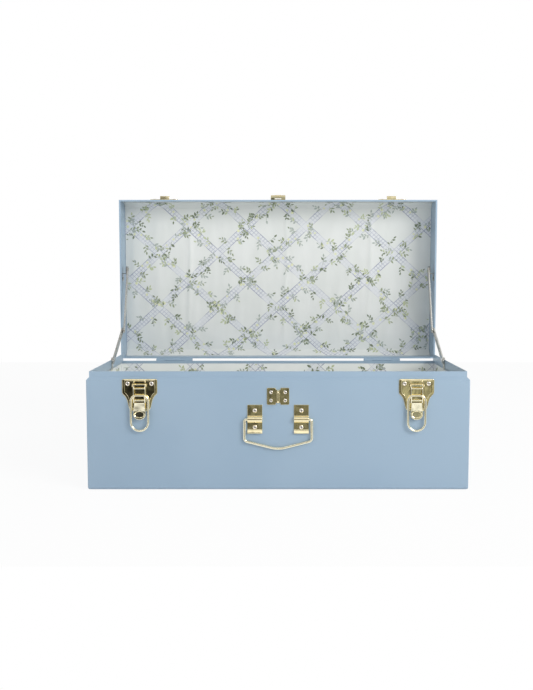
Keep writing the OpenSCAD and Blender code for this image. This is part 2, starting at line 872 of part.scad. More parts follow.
module hasp_leaf() {
    arm = hasp_w / 2 - hasp_knuckle - knuckle_gap;
    arm_h = 2.4;
    color([0.62, 0.52, 0.28])
        lid_open()
            on_front(0, 0)
                difference() {
                    union() {
                        translate([0, hasp_pin_z - arm_h / 2 + hasp_leaf_h / 2, 0])
                            plate(hasp_w, hasp_leaf_h, plate_t, 1);
                        for (q = [-1, 1]) {
                            x0 = q < 0 ? -hasp_w / 2 : hasp_w / 2 - arm;
                            translate([x0, hasp_pin_z - arm_h / 2, 0])
                                cube([arm, arm_h, hasp_pin_out]);
                            translate([x0, hasp_pin_z, hasp_pin_out])
                                rotate([0, 90, 0])
                                    cylinder(r = hasp_r, h = arm);
                        }
                    }
                    hasp_bore();
                    for (q = [-1, 1])
                        translate([q * hasp_rivet_x, hasp_rivet_z, 0])
                            rivet_hole(0, plate_t);
                }
}

module hasp_rivets() {
    color([0.86, 0.82, 0.76])
        lid_open()
            for (q = [-1, 1])
                on_front(q * hasp_rivet_x, hasp_rivet_z)
                    translate([0, 0, plate_t])
                        rivet(plate_t + sheet_t, 4.6);
}

module hasp_pin() {
    color([0.80, 0.68, 0.38])
        lid_open()
            on_front(0, 0)
                translate([-hasp_w / 2, hasp_pin_z, hasp_pin_out])
                    rotate([0, 90, 0])
                        cylinder(d = hasp_pin_d, h = hasp_w);
}

// The flap is drawn folded back against the lid, with its slot over the pin
module hasp_flap() {
    off = hasp_pin_out - hasp_plane;
    slot_mid = hasp_pin_z - staple_z;
    color([0.66, 0.55, 0.30])
        lid_open()
            on_front(0, 0)
                translate([0, hasp_pin_z, hasp_pin_out])
                    difference() {
                        union() {
                            translate([-hasp_knuckle, 0, 0])
                                rotate([0, 90, 0])
                                    cylinder(r = hasp_r, h = 2 * hasp_knuckle);
                            translate([-hasp_knuckle, 0, off - hasp_t])
                                cube([2 * hasp_knuckle, hasp_start + 1, hasp_t]);
                            translate([0, (hasp_start + hasp_len) / 2, off - hasp_t])
                                plate(hasp_w, hasp_len - hasp_start, hasp_t, 2);
                        }
                        translate([0, slot_mid, off - hasp_t])
                            translate([-hasp_slot_w / 2, -hasp_slot_h / 2, -eps])
                                cube([hasp_slot_w, hasp_slot_h, hasp_t + 2 * eps]);
                        translate([-hasp_w, 0, 0])
                            rotate([0, 90, 0])
                                cylinder(d = hasp_pin_d + 2 * fit, h = 2 * hasp_w);
                    }
}

// Carry handle

module handle_bracket(s) {
    lip_angle = atan2(bracket_lip_out, bracket_lip);
    bottom = bracket_top - bracket_h;
    color([0.84, 0.74, 0.46])
        on_front(s * bracket_x, 0)
            difference() {
                union() {
                    translate([0, (bracket_top + bottom + bracket_lip) / 2, 0])
                        plate(bracket_w, bracket_h - bracket_lip, plate_t, 0.6);
                    translate([-bracket_w / 2, handle_z, saddle_out])
                        rotate([0, 90, 0])
                            cylinder(r = saddle_r, h = bracket_w);
                    translate([-bracket_w / 2, bottom + bracket_lip, 0])
                        rotate([-lip_angle, 0, 0])
                            translate([0, -bracket_lip / cos(lip_angle), 0])
                                cube([bracket_w, bracket_lip / cos(lip_angle), plate_t]);
                }
                translate([-bracket_w, handle_z - 2 * saddle_r, -4 * saddle_r])
                    cube([2 * bracket_w, 4 * saddle_r, 4 * saddle_r]);
                translate([-bracket_w, handle_z, handle_out])
                    rotate([0, 90, 0])
                        cylinder(r = handle_r + fit, h = 2 * bracket_w);
                translate([0, handle_z + bracket_rivet_up, 0])
                    rivet_hole(0, plate_t);
                translate([0, handle_z - bracket_rivet_down, 0])
                    rivet_hole(0, plate_t);
            }
}

module handle_rivets() {
    color([0.86, 0.82, 0.76])
        for (s = [-1, 1], z = [bracket_rivet_up, -bracket_rivet_down])
            on_front(s * bracket_x, handle_z + z)
                translate([0, 0, plate_t])
                    rivet(plate_t + sheet_t);
}

module handle_bail() {
    x = handle_w / 2;
    stub = bracket_x - bracket_w / 2 + 1;
    corner = handle_z - handle_side;
    color([0.93, 0.88, 0.70])
        on_front(0, 0)
            translate([0, 0, handle_out])
                bent_wire(
                    [[stub, handle_z], [x, handle_z], [x, corner], [0, corner - handle_sag],
                     [-x, corner], [-x, handle_z], [-stub, handle_z]],
                    [0, 3, 5, 40, 5, 3, 0],
                    handle_r
                );
}

// Lid

module lid_block(inset, r, w) {
    h = lid_h - inset;
    d = body_d - 2 * inset;
    translate([0, 0, rim_z])
        difference() {
            translate([-w / 2, -d / 2, inset > 0 ? -eps : 0])
                cube([w, d, h + (inset > 0 ? eps : 0)]);
            for (q = [0, 1])
                mirror([0, q, 0])
                    translate([-w / 2, d / 2, h])
                        rotate([0, 90, 0])
                            mirror([1, 0, 0])
                                edge_waste(r, w);
        }
}

module lid_shell() {
    w = body_w - 2 * sheet_t;
    hem = hem_t - sheet_t;
    color([0.60, 0.68, 0.75])
        lid_open()
            difference() {
                union() {
                    difference() {
                        lid_block(0, lid_bend_r, w);
                        lid_block(sheet_t, lid_bend_r - sheet_t, w + 2 * eps);
                    }
                    for (s = [-1, 1])
                        translate([-w / 2, s * (body_d - hem_t) / 2 - hem_t / 2, rim_z])
                            cube([w, hem_t, hem_h]);
                }
                for (s = [-1, 1]) {
                    for (q = [-1, 1])
                        on_front(s * latch_x + q * latch_rivet_x, strike_rivet_z)
                            rivet_hole(hem);
                    on_front(s * hasp_rivet_x, hasp_rivet_z)
                        rivet_hole(hem);
                    hinge_rivets_at(s, true)
                        rivet_hole(hem);
                }
            }
}

module lid_end(s) {
    hem = hem_t - sheet_t;
    color([0.60, 0.68, 0.75])
        lid_open()
            difference() {
                union() {
                    translate([s * (body_w - sheet_t) / 2, 0, 0])
                        lid_block(0, lid_bend_r, sheet_t);
                    translate([s * (body_w / 2 - sheet_t - hem / 2) - hem / 2,
                               hem_t - body_d / 2, rim_z])
                        cube([hem, body_d - 2 * hem_t, hem_h]);
                }
                stay_lid_rivet_at(s)
                    rivet_hole(stay_bracket_t + sheet_t, 0, stay_shank_d);
            }
}

module lid_lining() {
    w = body_w - 2 * (sheet_t + pass);
    t = sheet_t + lid_lining_t;
    back_end = lid_top - lid_bend_r - lid_lining_back;
    color([0.90, 0.92, 0.92])
        lid_open()
            difference() {
                lid_block(sheet_t, lid_bend_r - sheet_t, w);
                lid_block(t, lid_bend_r - t, w + 2 * eps);
                translate([-w, -body_d, rim_z - 2 * eps])
                    cube([2 * w, 2 * body_d, hem_h + 2 * eps + pass]);
                translate([-w, 0, rim_z - eps])
                    cube([2 * w, body_d, back_end - rim_z + eps]);
            }
}

// Lid stays. The links swing in planes across x, and s is -1 on the left and 1 on the right.

// Places a drawing across x: its x runs back, its y runs up, its z runs out from the middle
module on_side(s, x, p) {
    mirror([s < 0 ? 1 : 0, 0, 0])
        translate([x, p[0], p[1]])
            rotate([90, 0, 90])
                children();
}

module stay_body_rivet_at(s) {
    on_side(s, neck_inner_x, [pivot_c[0], body_h + 1.6])
        mirror([0, 0, 1])
            translate([0, 0, stay_bracket_t])
                children();
}

module stay_bracket_body(s) {
    top = pivot_c[1] + stay_bracket_w / 2;
    bottom = lining_top + 0.6;
    color([0.80, 0.80, 0.78])
        difference() {
            on_side(s, neck_inner_x - stay_bracket_t, [pivot_c[0], (top + bottom) / 2])
                plate(stay_bracket_w, top - bottom, stay_bracket_t, 2.5);
            on_side(s, neck_inner_x, pivot_c)
                mirror([0, 0, 1])
                    rivet_hole(0, stay_bracket_t, stay_shank_d);
            stay_body_rivet_at(s)
                rivet_hole(stay_bracket_t, 0, stay_shank_d);
        }
}

module stay_rivets_body() {
    reach = stay_bracket_t + pass + link_t + stay_play;
    color([0.86, 0.82, 0.76])
        for (s = [-1, 1]) {
            on_side(s, neck_inner_x, pivot_c)
                mirror([0, 0, 1])
                    translate([0, 0, reach])
                        rivet(reach, stay_head_d, stay_head_h, stay_shank_d);
            stay_body_rivet_at(s)
                rivet(stay_bracket_t + sheet_t, 4, pass * 0.8, stay_shank_d);
        }
}

// Places a drawing on the closed lid's inside end wall, level with the lid pivot
module stay_lid_frame(s, x) {
    up = axis_z - axis_y + pivot_a[0];
    back = axis_y + axis_z - pivot_a[1];
    on_side(s, x, [back, up])
        children();
}

module stay_lid_rivet_at(s) {
    stay_lid_frame(s, body_w / 2 - sheet_t)
        translate([stay_foot_drop - 4.5, 0, 0])
            mirror([0, 0, 1])
                translate([0, 0, stay_bracket_t])
                    children();
}

module stay_bracket_lid(s) {
    plane_x = upper_out_x + pass;
    web_start = stay_foot_drop - 10;
    wall_x = body_w / 2 - sheet_t;
    color([0.80, 0.80, 0.78])
        lid_open()
            difference() {
                union() {
                    stay_lid_frame(s, plane_x)
                        translate([(web_start - stay_foot_up) / 2, 0, 0])
                            plate(web_start + stay_foot_up, stay_bracket_w, stay_bracket_t, 2.5);
                    stay_lid_frame(s, plane_x)
                        translate([web_start - 2.6, -stay_bracket_w / 2 + 0.4, 0])
                            cube([stay_bracket_t, stay_bracket_w - 0.8, wall_x - plane_x]);
                    stay_lid_frame(s, wall_x - stay_bracket_t)
                        translate([(web_start - 2.6 + stay_foot_drop) / 2, 0, 0])
                            plate(stay_foot_drop - web_start + 2.6, stay_bracket_w,
                                  stay_bracket_t, 1);
                }
                stay_lid_frame(s, plane_x)
                    rivet_hole(0, stay_bracket_t, stay_shank_d);
                stay_lid_rivet_at(s)
                    rivet_hole(stay_bracket_t, 0, stay_shank_d);
            }
}

module stay_rivets_lid() {
    reach = link_t + pass + stay_play;
    depth = reach + stay_bracket_t;
    color([0.86, 0.82, 0.76])
        lid_open()
            for (s = [-1, 1]) {
                stay_lid_frame(s, upper_out_x + pass)
                    mirror([0, 0, 1])
                        translate([0, 0, reach])
                            rivet(depth, stay_head_d, stay_head_h, stay_shank_d);
                stay_lid_rivet_at(s)
                    rivet(stay_bracket_t + sheet_t, 4.4, 1, stay_shank_d);
            }
}

// A link with round ends, from the pivot p past the elbow, with a hole at p
module stay_link(s, x, p) {
    run = pivot_b - p;
    on_side(s, x, p)
        rotate([0, 0, heading(run)])
            difference() {
                union() {
                    translate([0, -link_w / 2, 0])
                        cube([norm(run), link_w, link_t]);
                    for (q = [0, norm(run)])
                        translate([q, 0, 0])
                            cylinder(d = link_w, h = link_t);
                }
                translate([0, 0, -eps])
                    cylinder(d = stay_shank_d + 2 * fit, h = link_t + 2 * eps);
            }
}

// The lower link has a slot, in which the elbow's pin slides as the lid closes
module stay_lower(s) {
    slot_w = stay_shank_d + 2 * stay_slot_play;
    color([0.62, 0.62, 0.60])
        difference() {
            stay_link(s, lower_in_x, pivot_c);
            on_side(s, lower_in_x - eps, pivot_c)
                rotate([0, 0, heading(pivot_b - pivot_c)]) {
                    translate([slot_near, -slot_w / 2, 0])
                        cube([slot_far - slot_near, slot_w, link_t + 2 * eps]);
                    for (q = [slot_near, slot_far])
                        translate([q, 0, 0])
                            cylinder(d = slot_w, h = link_t + 2 * eps);
                }
        }
}

// The upper link carries the elbow's pin, whose head lies outside the lower link
module stay_upper(s) {
    reach = lower_out_x + stay_play - upper_out_x;
    color([0.84, 0.86, 0.85])
        union() {
            stay_link(s, upper_in_x, pivot_a);
            on_side(s, upper_out_x + reach, pivot_b)
                rivet(reach + link_t / 2, stay_head_d, stay_head_h, stay_shank_d);
        }
}

body_shell();
body_bottom();
neck_frame();
body_lining();
hinge_leaf_body(-1);  // hinge_leaf_body_left
hinge_leaf_body(1);  // hinge_leaf_body_right
hinge_pin(-1);  // hinge_pin_left
hinge_pin(1);  // hinge_pin_right
hinge_rivets_body();
latch_base(-1);  // latch_base_left
latch_base(1);  // latch_base_right
latch_pin(-1);  // latch_pin_left
latch_pin(1);  // latch_pin_right
latch_rivets();
hasp_staple();
staple_rivets();
handle_bracket(-1);  // handle_bracket_left
handle_bracket(1);  // handle_bracket_right
handle_rivets();
stay_bracket_body(-1);  // stay_bracket_body_left
stay_bracket_body(1);  // stay_bracket_body_right
stay_rivets_body();
lid_shell();
lid_end(-1);  // lid_end_left
lid_end(1);  // lid_end_right
lid_lining();
hinge_leaf_lid(-1);  // hinge_leaf_lid_left
hinge_leaf_lid(1);  // hinge_leaf_lid_right
hinge_rivets_lid();
strike(-1);  // strike_left
strike(1);  // strike_right
strike_rivets();
hasp_leaf();
hasp_rivets();
hasp_pin();
stay_bracket_lid(-1);  // stay_bracket_lid_left
stay_bracket_lid(1);  // stay_bracket_lid_right
stay_rivets_lid();
latch_lever(-1);  // latch_lever_left
latch_lever(1);  // latch_lever_right
latch_loop(-1);  // latch_loop_left
latch_loop(1);  // latch_loop_right
hasp_flap();
handle_bail();
stay_lower(-1);  // stay_lower_left
stay_lower(1);  // stay_lower_right
stay_upper(-1);  // stay_upper_left
stay_upper(1);  // stay_upper_right
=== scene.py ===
# Looks for the small tin trunk: paint, printed lining, brass fittings, rivets and wires round the
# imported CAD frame. Distances in the tables below are in millimetres unless a name says otherwise.
import math

import bmesh
import bpy
import numpy as np
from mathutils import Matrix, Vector


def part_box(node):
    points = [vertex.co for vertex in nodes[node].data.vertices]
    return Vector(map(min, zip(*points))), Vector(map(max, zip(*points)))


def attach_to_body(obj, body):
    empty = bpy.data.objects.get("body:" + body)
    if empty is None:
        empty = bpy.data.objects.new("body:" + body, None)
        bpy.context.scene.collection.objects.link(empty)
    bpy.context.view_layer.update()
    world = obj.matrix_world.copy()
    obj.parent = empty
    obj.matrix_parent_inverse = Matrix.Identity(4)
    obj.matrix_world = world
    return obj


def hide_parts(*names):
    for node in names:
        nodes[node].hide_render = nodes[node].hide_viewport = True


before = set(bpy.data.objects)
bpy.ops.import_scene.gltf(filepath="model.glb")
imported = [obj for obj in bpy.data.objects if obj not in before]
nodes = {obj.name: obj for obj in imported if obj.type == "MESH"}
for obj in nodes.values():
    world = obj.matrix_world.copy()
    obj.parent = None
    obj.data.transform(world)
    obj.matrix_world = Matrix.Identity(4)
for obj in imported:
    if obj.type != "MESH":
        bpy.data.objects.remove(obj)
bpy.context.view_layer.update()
scene = bpy.context.scene
MM = 0.001

# Camera

camera_data = bpy.data.cameras.new("camera")
camera_data.lens = 44.743
camera_data.sensor_width = 36
camera_data.shift_x = -0.0168
camera_data.clip_start = 0.05
camera_data.clip_end = 20
camera = bpy.data.objects.new("camera", camera_data)
camera.location = (0, -1.2318, 0.2836)
camera.rotation_euler = (math.radians(85.218), 0, 0)
scene.collection.objects.link(camera)
scene.camera = camera


# Node graphs


class Graph:
    """A short way to write a node tree: values are numbers, colours or output sockets."""

    def __init__(self, tree):
        self.tree = tree
        tree.nodes.clear()

    def add(self, kind, inputs=(), **settings):
        node = self.tree.nodes.new(kind)
        for key, value in settings.items():
            setattr(node, key, value)
        for key, value in dict(inputs).items():
            self.feed(node.inputs[key], value)
        return node

    def feed(self, socket, value):
        if isinstance(value, bpy.types.NodeSocket):
            self.tree.links.new(value, socket)
        elif isinstance(value, tuple) and len(value) == 3 and socket.type == "RGBA":
            socket.default_value = (*value, 1)
        else:
            socket.default_value = value

    def math(self, operation, *values, clamp=False):
        node = self.add("ShaderNodeMath", operation=operation, use_clamp=clamp)
        for socket, value in zip(node.inputs, values):
            self.feed(socket, value)
        return node.outputs[0]

    def mix(self, factor, a, b):
        node = self.add("ShaderNodeMix", data_type="RGBA")
        self.feed(node.inputs[0], factor)
        self.feed(node.inputs[6], a)
        self.feed(node.inputs[7], b)
        return node.outputs[2]

    def step(self, value, low, high, out_low=0.0, out_high=1.0):
        node = self.add(
            "ShaderNodeMapRange",
            {"Value": value, "From Min": low, "From Max": high, "To Min": out_low, "To Max": out_high},
            interpolation_type="SMOOTHSTEP",
        )
        return node.outputs["Result"]

    def noise(self, place, scale, detail):
        inputs = {"Vector": place, "Scale": scale, "Detail": detail}
        return self.add("ShaderNodeTexNoise", inputs).outputs["Fac"]

    def stretched(self, place, scale):
        return self.add("ShaderNodeMapping", {"Vector": place, "Scale": scale}).outputs[0]

    def bump(self, height, distance, strength, before=None):
        inputs = {"Height": height, "Distance": distance, "Strength": strength}
        if before is not None:
            inputs["Normal"] = before
        return self.add("ShaderNodeBump", inputs).outputs[0]

    def glossy(self, paths):
        """1 for a ray that comes from a mirror or a clear surface, else 0."""
        return self.math("MAXIMUM", paths.outputs["Is Glossy Ray"], paths.outputs["Is Transmission Ray"])


def material(name, build):
    made = bpy.data.materials.new(name)
    made.use_nodes = True
    g = Graph(made.node_tree)
    shader = g.add("ShaderNodeBsdfPrincipled")
    out = g.add("ShaderNodeOutputMaterial")
    g.tree.links.new(shader.outputs[0], out.inputs[0])

    def put(**sockets):
        for key, value in sockets.items():
            g.feed(shader.inputs[key.replace("_", " ")], value)

    build(g, put)
    return made


def object_place(g):
    return g.add("ShaderNodeTexCoord").outputs["Object"]


def paint(g, put):
    place = object_place(g)
    cloud = g.noise(place, 7, 3)
    speck = g.noise(place, 240, 2)
    peel = g.noise(place, 620, 1)
    wave = g.noise(place, 9, 1)
    tint = g.mix(g.step(cloud, 0.35, 0.65), (0.332, 0.452, 0.575), (0.353, 0.473, 0.594))
    rough = g.math("ADD", g.step(speck, 0.3, 0.8, 0.33, 0.40), g.step(cloud, 0.3, 0.7, 0.0, 0.04))
    put(
        Base_Color=g.mix(g.step(speck, 0.62, 0.8, 0, 0.25), tint, (0.385, 0.50, 0.615)),
        Roughness=rough,
        Coat_Weight=0.25,
        Coat_Roughness=0.22,
        Normal=g.bump(peel, 0.00006, 0.35, g.bump(wave, 0.0012, 0.25)),
    )


def metal(colour, dull, rough, scratch):
    """Polished metal, with smudges of a dull colour and fine scratches."""

    def build(g, put):
        place = object_place(g)
        smudge = g.noise(place, 90, 3)
        fine = g.noise(g.stretched(place, (900, 900, 120)), 1, 2)
        put(
            Base_Color=g.mix(g.step(smudge, 0.45, 0.75, 0, 0.5), colour, dull),
            Metallic=1.0,
            Roughness=g.math(
                "ADD", g.step(smudge, 0.3, 0.75, rough, rough + 0.07), g.step(fine, 0.4, 0.8, 0, 0.03)
            ),
            Normal=g.bump(fine, 0.00001, scratch, g.bump(g.noise(place, 75, 1), 0.0005, 0.8)),
        )

    return build


# The print, in metres: the trellis's pitch across and along, the half width of its bands and the
# number of meshes to a pitch
PITCH_X, PITCH_V = 0.096, 0.088
BAND = 0.0053
MESHES = 13.0


def trellis(g, place):
    """How much of border line, of fine lattice and of band shows at a place of the print."""
    parts = g.add("ShaderNodeSeparateXYZ", {"Vector": place})
    across = g.math("DIVIDE", parts.outputs[0], PITCH_X)
    along = g.math("DIVIDE", parts.outputs[1], PITCH_V)
    gap = 1 / math.hypot(1 / PITCH_X, 1 / PITCH_V)
    offs, lines, inside, fine = [], [], [], []
    for turn in ("ADD", "SUBTRACT"):
        value = g.math(turn, across, along)
        off = g.math("MULTIPLY", g.math("PINGPONG", value, 0.5), gap)
        offs.append(off)
        line = g.math("ABSOLUTE", g.math("SUBTRACT", off, BAND))
        lines.append(g.step(line, 0.00028, 0.00060, 1, 0))
        inside.append(g.step(off, BAND - 0.0004, BAND, 1, 0))
        mesh = g.math("MULTIPLY", g.math("PINGPONG", g.math("MULTIPLY", value, MESHES), 0.5), gap / MESHES)
        fine.append(g.step(mesh, 0.00022, 0.0005, 1, 0))
    either = g.math("MAXIMUM", *inside)
    both = g.math("MULTIPLY", *inside)
    lattice = g.math("MULTIPLY", g.math("MAXIMUM", *fine), g.math("SUBTRACT", either, both, clamp=True))
    return g.math("MAXIMUM", *lines), lattice, either


def lining(g, put, darker, paler):
    place = g.add("ShaderNodeUVMap", uv_map="print").outputs[0]
    line, lattice, band = trellis(g, place)
    worn = g.noise(place, 160, 2)
    cloud = g.noise(place, 14, 3)
    faint = g.step(g.noise(place, 34, 2), 0.38, 0.62, 0.18, 1.0)
    base = g.mix(g.step(cloud, 0.35, 0.7), darker, paler)
    washed = g.mix(g.math("MULTIPLY", band, 0.45), base, (0.72, 0.74, 0.80))
    laced = g.mix(g.math("MULTIPLY", lattice, g.math("MULTIPLY", faint, 0.85)), washed, (0.38, 0.40, 0.50))
    inked = g.mix(
        g.math("MULTIPLY", line, g.math("MULTIPLY", faint, g.step(worn, 0.25, 0.6, 0.45, 0.95))),
        laced,
        (0.25, 0.27, 0.40),
    )
    waves = {"Vector": place, "Scale": 700}
    threads = [g.add("ShaderNodeTexWave", waves, bands_direction=way).outputs["Fac"] for way in "XY"]
    weave = g.math("MULTIPLY", *threads)
    ripple = g.noise(g.stretched(place, (24, 4, 1)), 1, 2)
    put(
        Base_Color=inked,
        Roughness=g.step(worn, 0.2, 0.8, 0.62, 0.74),
        Specular_IOR_Level=0.3,
        Normal=g.bump(weave, 0.00005, 0.4, g.bump(ripple, 0.0045, 0.6)),
    )


def ink(light, dark):
    """One colour of the print's leaves, mottled between light and dark."""

    def build(g, put):
        place = object_place(g)
        vein = g.noise(place, 420, 2)
        put(
            Base_Color=g.mix(g.step(vein, 0.35, 0.65), dark, light),
            Roughness=g.step(vein, 0.2, 0.8, 0.62, 0.74),
            Specular_IOR_Level=0.3,
            Normal=g.bump(g.noise(place, 1400, 1), 0.00004, 0.4),
        )

    return build


def card(g, put):
    place = object_place(g)
    pulp = g.noise(place, 700, 3)
    put(
        Base_Color=g.mix(g.step(pulp, 0.3, 0.7), (0.66, 0.67, 0.64), (0.76, 0.77, 0.74)),
        Roughness=g.step(pulp, 0.3, 0.7, 0.78, 0.9),
        Normal=g.bump(pulp, 0.0001, 0.5),
    )


blue = material("blue_paint", paint)
brass = material("brass", metal((0.97, 0.86, 0.56), (0.86, 0.73, 0.43), 0.07, 0.15))
pale_brass = material("pale_brass", metal((0.985, 0.93, 0.72), (0.93, 0.85, 0.61), 0.08, 0.15))
rivet_metal = material("rivet_metal", metal((0.86, 0.82, 0.78), (0.76, 0.71, 0.66), 0.12, 0.2))
steel = material("zinc_steel", metal((0.62, 0.61, 0.58), (0.46, 0.45, 0.42), 0.20, 0.35))
# Both linings carry one print. The lid's copy has a darker ground, which is painted shade for the lid's
# shaded inside.
lid_cloth_painted_shade = material(
    "printed_lining", lambda g, put: lining(g, put, (0.745, 0.765, 0.74), (0.785, 0.80, 0.78))
)
# The body's copy of the print has a lighter ground, which is painted light for the strongly lit inside of
# the body.
body_cloth_painted_light = material(
    "printed_body_lining_painted_light", lambda g, put: lining(g, put, (0.86, 0.885, 0.86), (0.90, 0.915, 0.89))
)
card_edge = material("lining_card", card)
# Places in the list of inks: the first LEAF_TONES are for leaves, and a blossom's MIDDLE has one of them
LEAF_TONES, MIDDLE, PETAL, STEM = 4, 2, 4, 5
INKS = [
    material("ink_leaf_dark", ink((0.23, 0.27, 0.18), (0.16, 0.20, 0.13))),
    material("ink_leaf_mid", ink((0.37, 0.41, 0.28), (0.28, 0.33, 0.22))),
    material("ink_leaf_pale", ink((0.58, 0.62, 0.40), (0.48, 0.54, 0.35))),
    material("ink_leaf_grey", ink((0.48, 0.52, 0.48), (0.38, 0.43, 0.40))),
    material("ink_petal", ink((0.82, 0.82, 0.56), (0.74, 0.76, 0.48))),
    material("ink_stem", ink((0.36, 0.41, 0.29), (0.28, 0.33, 0.24))),
]


# Meshes


def new_object(name, verts, faces, materials, face_material=None, smooth=True):
    mesh = bpy.data.meshes.new(name)
    mesh.from_pydata([tuple(v) for v in verts], [], faces)
    for m in materials:
        mesh.materials.append(m)
    if face_material is not None:
        mesh.polygons.foreach_set("material_index", face_material)
    mesh.polygons.foreach_set("use_smooth", [smooth] * len(faces))
    mesh.update()
    made = bpy.data.objects.new(name, mesh)
    scene.collection.objects.link(made)
    return made


def even_normals(piece, angle):
    """Smooth shading, with a crease at every edge sharper than the angle."""
    bm = bmesh.new()
    bm.from_mesh(piece.data)
    for edge in bm.edges:
        edge.smooth = len(edge.link_faces) == 2 and edge.calc_face_angle(0) < math.radians(angle)
    bm.to_mesh(piece.data)
    bm.free()
    keep = piece.modifiers.new("even_normals", "WEIGHTED_NORMAL")
    keep.keep_sharp = True


def from_bmesh(name, bm, look):
    """A smooth object of one look made of a bmesh, which is freed."""
    mesh = bpy.data.meshes.new(name)
    bm.to_mesh(mesh)
    bm.free()
    mesh.materials.clear()
    mesh.materials.append(look)
    mesh.polygons.foreach_set("material_index", [0] * len(mesh.polygons))
    mesh.polygons.foreach_set("use_smooth", [True] * len(mesh.polygons))
    piece = bpy.data.objects.new(name, mesh)
    scene.collection.objects.link(piece)
    return piece


# Corners nearer than this in a CAD mesh are one, in metres
SAME_CORNER = 3e-6
# Angles between faces, in degrees: up to the first they count as flat, and from the second as an edge
FLAT_ANGLE, EDGE_ANGLE = 0.4, 28


def round_over(bm, edges, width, segments=2, clamp=False):
    """Rounds edges over by a width in millimetres."""
    bmesh.ops.bevel(
        bm,
        geom=edges,
        offset=width * MM,
        offset_type="OFFSET",
        segments=segments,
        profile=0.5,
        affect="EDGES",
        clamp_overlap=clamp,
    )


def softened(name, body, look, slot, width, segments=2, clamp=True, only=None):
    """The CAD node with its sharp edges (or those whose ends pass only) rounded over, in its place."""
    bm = bmesh.new()
    bm.from_mesh(nodes[name].data)
    bmesh.ops.remove_doubles(bm, verts=bm.verts, dist=SAME_CORNER)
    bmesh.ops.dissolve_limit(
        bm, angle_limit=math.radians(FLAT_ANGLE), verts=bm.verts, edges=bm.edges, delimit=set()
    )
    least = math.radians(EDGE_ANGLE)
    sharp = [e for e in bm.edges if len(e.link_faces) == 2 and e.calc_face_angle(0) > least]
    if only is not None:
        sharp = [e for e in sharp if all(only(v.co / MM) for v in e.verts)]
    round_over(bm, sharp, width, segments, clamp)
    piece = from_bmesh(name + "_formed", bm, look)
    even_normals(piece, 35)
    attach(piece, body, slot, name)


def attach(piece, body, slot, *stands_for):
    """Puts a piece on its body, in place of the CAD nodes named. The slot is not used."""
    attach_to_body(piece, body)
    if stands_for:
        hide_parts(*stands_for)


def turned(profile, axis, origin, count=20):
    """A turned part: profile is [(radius, height)], about the axis from the origin, in metres."""
    axis = Vector(axis).normalized()
    side = axis.orthogonal().normalized()
    other = axis.cross(side)
    verts, faces = [], []
    for radius, height in profile:
        for i in range(count):
            a = 2 * math.pi * i / count
            verts.append(origin + axis * height + (side * math.cos(a) + other * math.sin(a)) * radius)
    for k in range(len(profile) - 1):
        for i in range(count):
            j = (i + 1) % count
            faces.append((k * count + i, k * count + j, (k + 1) * count + j, (k + 1) * count + i))
    faces.append(tuple(reversed(range(count))))
    faces.append(tuple((len(profile) - 1) * count + i for i in range(count)))
    return verts, faces


def islands(name):
    """The lowest and highest corners of each separate solid of a CAD node."""
    bm = bmesh.new()
    bm.from_mesh(nodes[name].data)
    bmesh.ops.remove_doubles(bm, verts=bm.verts, dist=SAME_CORNER)
    left, found = set(bm.verts), []
    while left:
        todo, group = [left.pop()], []
        while todo:
            v = todo.pop()
            group.append(v.co.copy())
            for e in v.link_edges:
                w = e.other_vert(v)
                if w in left:
                    left.remove(w)
                    todo.append(w)
        low = Vector([min(c[i] for c in group) for i in range(3)])
        high = Vector([max(c[i] for c in group) for i in range(3)])
        found.append((low, high))
    bm.free()
    return sorted(found, key=lambda b: tuple(round(x, 5) for x in b[0]))


# A rivet head's outline, each point as (share of its radius, share of its height from the top)
HOLLOW_END = [
    (0.34, -0.92), (0.40, -0.86), (0.43, -0.5), (0.46, -0.2), (0.52, -0.04), (0.59, 0.0), (0.70, -0.06),
]
ROUND_END = [(0.10, 0.0), (0.30, -0.03), (0.54, -0.12), (0.70, -0.26)]
HEAD_SIDE = [(0.82, -0.30), (0.93, -0.58), (1.0, -0.86), (0.99, -1.0)]
SHANK_R = 1.2


def rivets(name, body, axis_of, head, look=rivet_metal, slot="nickel", hollow=True):
    """Rolled rivets, each with its hollow end outward, in place of a node of plain ones."""
    verts, faces = [], []
    for low, high in islands(name):
        axis = Vector(axis_of((low + high) / 2))
        k = max(range(3), key=lambda i: abs(axis[i]))
        sides = [i for i in range(3) if i != k]
        radius = max(high[i] - low[i] for i in sides) / 2
        length = high[k] - low[k]
        top = (low + high) / 2
        top[k] = high[k] if axis[k] > 0 else low[k]
        h = head * MM
        outline = (HOLLOW_END if hollow else ROUND_END) + HEAD_SIDE
        profile = [(radius * r, h * z) for r, z in outline]
        profile += [(SHANK_R * MM, -h), (SHANK_R * MM, -length)]
        v, f = turned(list(reversed(profile)), axis, top)
        faces += [tuple(i + len(verts) for i in face) for face in f]
        verts += v
    piece = new_object(name + "_rolled", verts, faces, [look])
    even_normals(piece, 50)
    attach(piece, body, slot, name)


# Steps along a path round a bend and on a straight, and the least one, in millimetres
BEND_STEP, STRAIGHT_STEP, LEAST_STEP = 0.6, 3, 0.02


